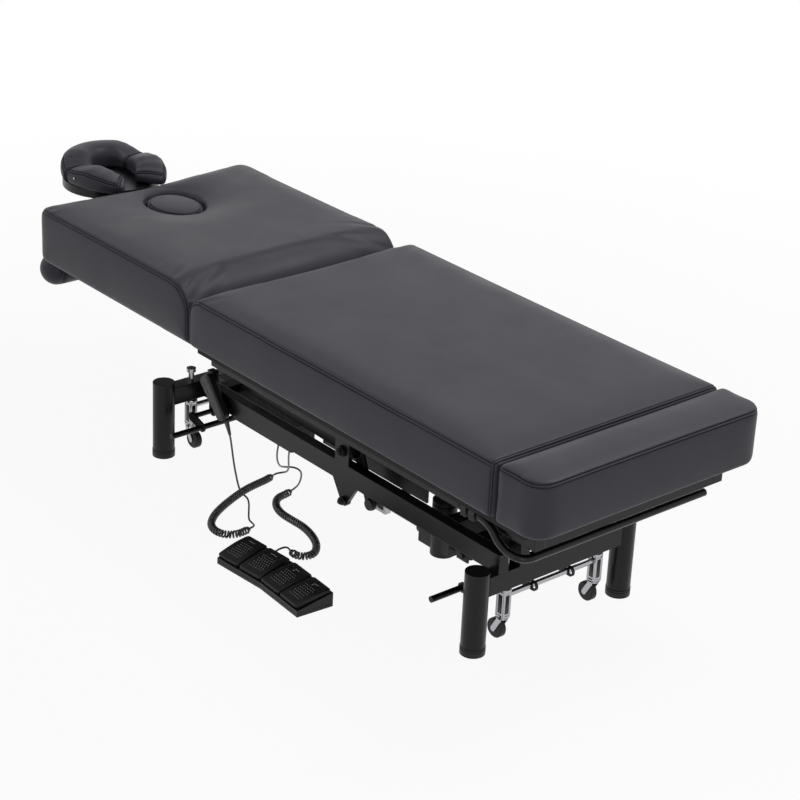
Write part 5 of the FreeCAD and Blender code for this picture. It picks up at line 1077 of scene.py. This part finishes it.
def make_foot_control():
    """All four lids, the fins between them and the lip of the case."""
    index = 0
    for side in (-1, 1):
        place, half, length = control_frame(side)
        pitch = half / 2
        spans = []
        for i in range(2):
            a = side * (i * pitch + CONTROL_RIDGE / 2 + i * CONTROL_RIDGE / 2)
            b = side * ((i + 1) * pitch - CONTROL_RIDGE / 2 * (1 - i) - CONTROL_RIM * i)
            spans.append((min(a, b), max(a, b)))
        for a, b in sorted(spans):
            index += 1
            make_lid(index, place, a, b, length)
        make_fin("control_fin_%d" % (side + 2), place, side * (pitch + CONTROL_RIDGE / 4), length)
        if side > 0:
            make_fin("control_fin_2", place, 0.0, length)
    make_skirt()


# Handset: a rounded shell round the plain body, with a grained face
HANDSET_PLACE, HANDSET_TURN = Vector((-440.0, -210.0, 238.0)), math.radians(42.0)
HANDSET_HALF, HANDSET_TOP, HANDSET_TAIL_HALF, HANDSET_DEPTH = 64.0, 26.0, 19.0, 24.0
HANDSET_END, HANDSET_WAIST, FACE_INSET, FACE_POWER = 13.0, 2.2, 4.5, 0.55
FACE_STEPS = ((0.0, -0.6), (0.0, 0.3), (0.8, 0.7), (5.0, 0.7))
SLEEVE_START, SLEEVE_LENGTH, SLEEVE_STEPS = -16.0, 34.0, 36
SLEEVE_RADIUS, SLEEVE_TAPER, SLEEVE_RIB = 6.4, 2.9, 0.7


def handset_spot(along, across, out):
    """A point of the handset: along its length, across it and out from its face."""
    down = Vector((math.sin(HANDSET_TURN), 0, -math.cos(HANDSET_TURN)))
    side = Vector((math.cos(HANDSET_TURN), 0, math.sin(HANDSET_TURN)))
    spot = HANDSET_PLACE + down * along + side * across + Vector((0, -out, 0))
    return at(spot.x, spot.y, spot.z)


def handset_half(along):
    """Half the handset's width at a place along it: less toward the tail, and slightly waisted."""
    share = (along + HANDSET_HALF) / (2 * HANDSET_HALF)
    width = HANDSET_TOP + (HANDSET_TAIL_HALF - HANDSET_TOP) * share
    return width - HANDSET_WAIST * math.sin(math.pi * share)


def make_shell(depth):
    """The handset's rounded shell."""
    rings = []
    for c, _ in arc(math.pi, 40):
        along = -HANDSET_HALF * c
        end = max(0.0, abs(along) - (HANDSET_HALF - HANDSET_END)) / HANDSET_END
        shrink = HANDSET_END * (1 - math.sqrt(max(0.0, 1 - end * end)))
        half, thick = max(4.0, handset_half(along) - shrink), depth - shrink * 0.28
        corner = min(6.0, half * 0.9, thick * 0.6)
        rings.append([handset_spot(along, p.x, p.y)
                      for p in rounded_ring(-half, half, -thick, thick, corner, 5, 6)])
    declared(mesh_object("handset_shell", stacked(rings), HANDSET_BLACK), "base",
             "handset_body")


def make_face(depth):
    """The handset's grained face panel."""
    rings = []
    for inset, out in FACE_STEPS:
        ring = []
        for c, s in circle(64):
            along = (HANDSET_HALF - 5.0 - inset) * softly(c, FACE_POWER)
            half = handset_half(along) - FACE_INSET - inset
            ring.append(handset_spot(along, half * softly(s, FACE_POWER), depth + out))
        rings.append(ring)
    declared(mesh_object("handset_face", stacked(rings), HANDSET_GREY, smooth=False), "base")


def make_sleeve():
    """The ribbed sleeve round the start of the handset's cord."""
    start = Vector(HANDSET_LEAD[0])
    lead = (Vector(HANDSET_LEAD[1]) - start).normalized()
    aside = lead.cross(Vector((0, 1, 0))).normalized()
    other = lead.cross(aside)
    rings = []
    for i in range(SLEEVE_STEPS + 1):
        share = i / SLEEVE_STEPS
        centre = start + lead * (SLEEVE_START + SLEEVE_LENGTH * share)
        size = SLEEVE_RADIUS - SLEEVE_TAPER * share + (0.0 if i % 4 in (0, 1) else SLEEVE_RIB)
        rings.append([at(*(centre + (aside * c + other * s) * size)) for c, s in circle(16)])
    declared(mesh_object("handset_sleeve", stacked(rings), CORD), "base")


# Bolts that the plain solids lack
BOLTS = (
    ("pivot_bolt_near", (70.0, -198.0, 283.0), (0, -1, 0), 9.5, 3.0),
    ("pivot_bolt_far", (70.0, 198.0, 283.0), (0, 1, 0), 9.5, 3.0),
    ("lug_bolt_near", (83.0, -192.0, 151.0), (0, -1, 0), 8.0, 9.0),
    ("lug_bolt_far", (83.0, 192.0, 151.0), (0, 1, 0), 8.0, 9.0),
)


def make_bolt(name, place, way, size, washer):
    """A washer or spacer, a chamfered hexagon head and the thread's end."""
    way = Vector(way)
    side = way.orthogonal().normalized()
    other = way.cross(side)
    rings = []
    for corner, reach, out in ((0, 1.35, 0.0), (0, 1.4, 0.4), (0, 1.4, washer - 0.4), (0, 1.3, washer),
                               (0, 0.95, washer), (1, 1.0, washer + 0.3), (1, 1.0, washer + 5.0),
                               (1, 0.84, washer + 6.0), (0, 0.62, washer + 6.0),
                               (0, 0.6, washer + 8.0), (0, 0.5, washer + 8.8)):
        ring = []
        for i in range(24):
            turn = 2 * math.pi * i / 24
            radius = size * reach
            if corner:
                bend = (turn + math.pi / 6) % (math.pi / 3) - math.pi / 6
                radius *= math.cos(math.pi / 6) / math.cos(bend) * 1.1
            ring.append(at(*(Vector(place) + (side * math.cos(turn) + other * math.sin(turn)) * radius
                             + way * out)))
        rings.append(ring)
    declared(mesh_object(name, stacked(rings), PAINT, smooth=False), "base")


# Casters: folded edges and collars on each plain chrome post, and in each face a black strip of painted
# shade standing in for a slot
POST_X, POST_Y, POST_HALF_X, POST_HALF_Y, POST_LOW, POST_HIGH = 634.0, 150.0, 13.0, 11.0, 66.5, 145.5
POST_SINK, SLOT_SHADE_SINK, SLOT_SHADE_SHARE = 1.2, 0.5, 0.62
POST_FOLD = ((1.8, POST_LOW + 1), (2.6, POST_LOW + 2.5), (2.6, POST_HIGH - 2.5), (1.8, POST_HIGH - 1))
POST_LOW_COLLAR = ((13.0, POST_LOW - 0.4), (15.2, POST_LOW + 0.6), (15.6, POST_LOW + 5),
                   (14.4, POST_LOW + 6.4), (10.0, POST_LOW + 7))
POST_HIGH_COLLAR = ((12.0, POST_HIGH - 13), (17.0, POST_HIGH - 12), (17.4, POST_HIGH - 3),
                    (16.0, POST_HIGH - 1.6), (10.0, POST_HIGH - 1))
POST_SLOT_SHADE = ((0.3, POST_LOW + 11), (1.0, POST_LOW + 12), (1.0, POST_HIGH - 18), (0.3, POST_HIGH - 17))


def upright(x, y, sizes, steps=12, wide=1.0, deep=1.0):
    """A turned or flattened upright form from (radius, height) pairs."""
    return stacked([[at(x + radius * wide * c, y + radius * deep * s, z) for c, s in circle(steps)]
                    for radius, z in sizes])


def make_post(end, side, y):
    """One caster's post: rolled edges, a collar at each end and, in each face, a black strip of painted
    shade where a slot would lie dark.
    """
    x, aside, deep = side * POST_X, POST_HALF_X - POST_SINK, POST_HALF_Y - POST_SINK
    edges = [upright(x + nx * aside, y + ny * deep, POST_FOLD) for nx in (-1, 1) for ny in (-1, 1)]
    edges += [upright(x, y, POST_LOW_COLLAR, 20, 1.0, 0.9), upright(x, y, POST_HIGH_COLLAR, 20, 1.0, 0.92)]
    # painted shade: thin black strips laid on the chrome stand in for the dark inside of a slot; no slot
    # is cut
    slots = [upright(x + nx * (POST_HALF_X - SLOT_SHADE_SINK), y + ny * (POST_HALF_Y - SLOT_SHADE_SINK), POST_SLOT_SHADE, 12,
                     1.0 if nx else SLOT_SHADE_SHARE * POST_HALF_X, 1.0 if ny else SLOT_SHADE_SHARE * POST_HALF_Y)
             for nx, ny in ((1, 0), (-1, 0), (0, 1), (0, -1))]
    name = "%s_%s_post_" % (end, "near" if y < 0 else "far")
    declared(mesh_object(name + "edges", gathered(edges), CHROME), end + "_carriage")
    # the post's slots object holds these strips of painted slot shade
    declared(mesh_object(name + "slots", gathered(slots), PAINT), end + "_carriage")


for spec in BOLTS:
    make_bolt(*spec)
for end, side in (("head", -1), ("foot", 1)):
    for y in (-POST_Y, POST_Y):
        make_post(end, side, y)
make_foot_control()
make_shell(HANDSET_DEPTH / 2)
make_face(HANDSET_DEPTH / 2)
make_sleeve()


# Floor, surround and lights
FLOOR_NEAR_SHARE, FLOOR_NEAR, FLOOR_FAR = 0.93, 1.4, 3.2
ROOM_STRENGTH = 0.22
LAMPS = (
    ("overhead", (1.0, 1.8, 4.0), (-0.1, 0.0, 0.5), 1.6, 62.0),
    ("front", (3.1, -2.6, 0.9), (0.4, -0.2, 0.4), 0.9, 14.5),
    ("head_side", (-3.0, -2.7, 1.9), (-0.1, -0.1, 0.3), 0.8, 9.0),
)


def looked_at(tree):
    """1 for rays from the camera, a mirror or glass, else 0."""
    path = add_node(tree, "LightPath")
    first = maths(tree, "MAXIMUM", path.outputs["Is Camera Ray"], path.outputs["Is Glossy Ray"])
    return maths(tree, "MAXIMUM", first, path.outputs["Is Transmission Ray"])


def make_floor():
    """A white floor that keeps a faint shadow."""
    bpy.ops.mesh.primitive_plane_add(size=40, location=(0, 0, 0))
    floor = bpy.context.object
    floor.name = "floor"
    material, tree, shader = new_material("floor_white")
    set_inputs(shader, Base_Color=(0.93, 0.93, 0.93, 1), Roughness=0.9)
    mix, far = add_node(tree, "MixShader"), add_node(tree, "VectorMath")
    far.operation = "LENGTH"
    tree.links.new(add_node(tree, "TexCoord").outputs["Object"], far.inputs[0])
    share = ranged(tree, far.outputs["Value"], FLOOR_NEAR_SHARE, 1.0, FLOOR_NEAR, FLOOR_FAR)
    tree.links.new(maths(tree, "MULTIPLY", looked_at(tree), share), mix.inputs["Fac"])
    tree.links.new(shader.outputs["BSDF"], mix.inputs[1])
    tree.links.new(add_node(tree, "Emission").outputs["Emission"], mix.inputs[2])
    tree.links.new(mix.outputs["Shader"], tree.nodes["Material Output"].inputs["Surface"])
    floor.data.materials.append(material)


def make_room():
    """A room that looks white and lights the object plainly."""
    world = bpy.data.worlds.new("world")
    world.use_nodes = True
    tree = world.node_tree
    background = set_inputs(tree.nodes["Background"], Color=(1, 1, 1, 1))
    tree.links.new(ranged(tree, looked_at(tree), ROOM_STRENGTH, 1.0), background.inputs["Strength"])
    bpy.context.scene.world = world
    bpy.context.scene.view_settings.view_transform = "Standard"
    for name, place, target, size, power in LAMPS:
        data = bpy.data.lights.new(name, "AREA")
        data.size = size
        data.energy = power
        light = bpy.data.objects.new(name, data)
        light.location = place
        light.rotation_euler = (Vector(target) - Vector(place)).to_track_quat("-Z", "Y").to_euler()
        bpy.context.collection.objects.link(light)


make_floor()
make_room()
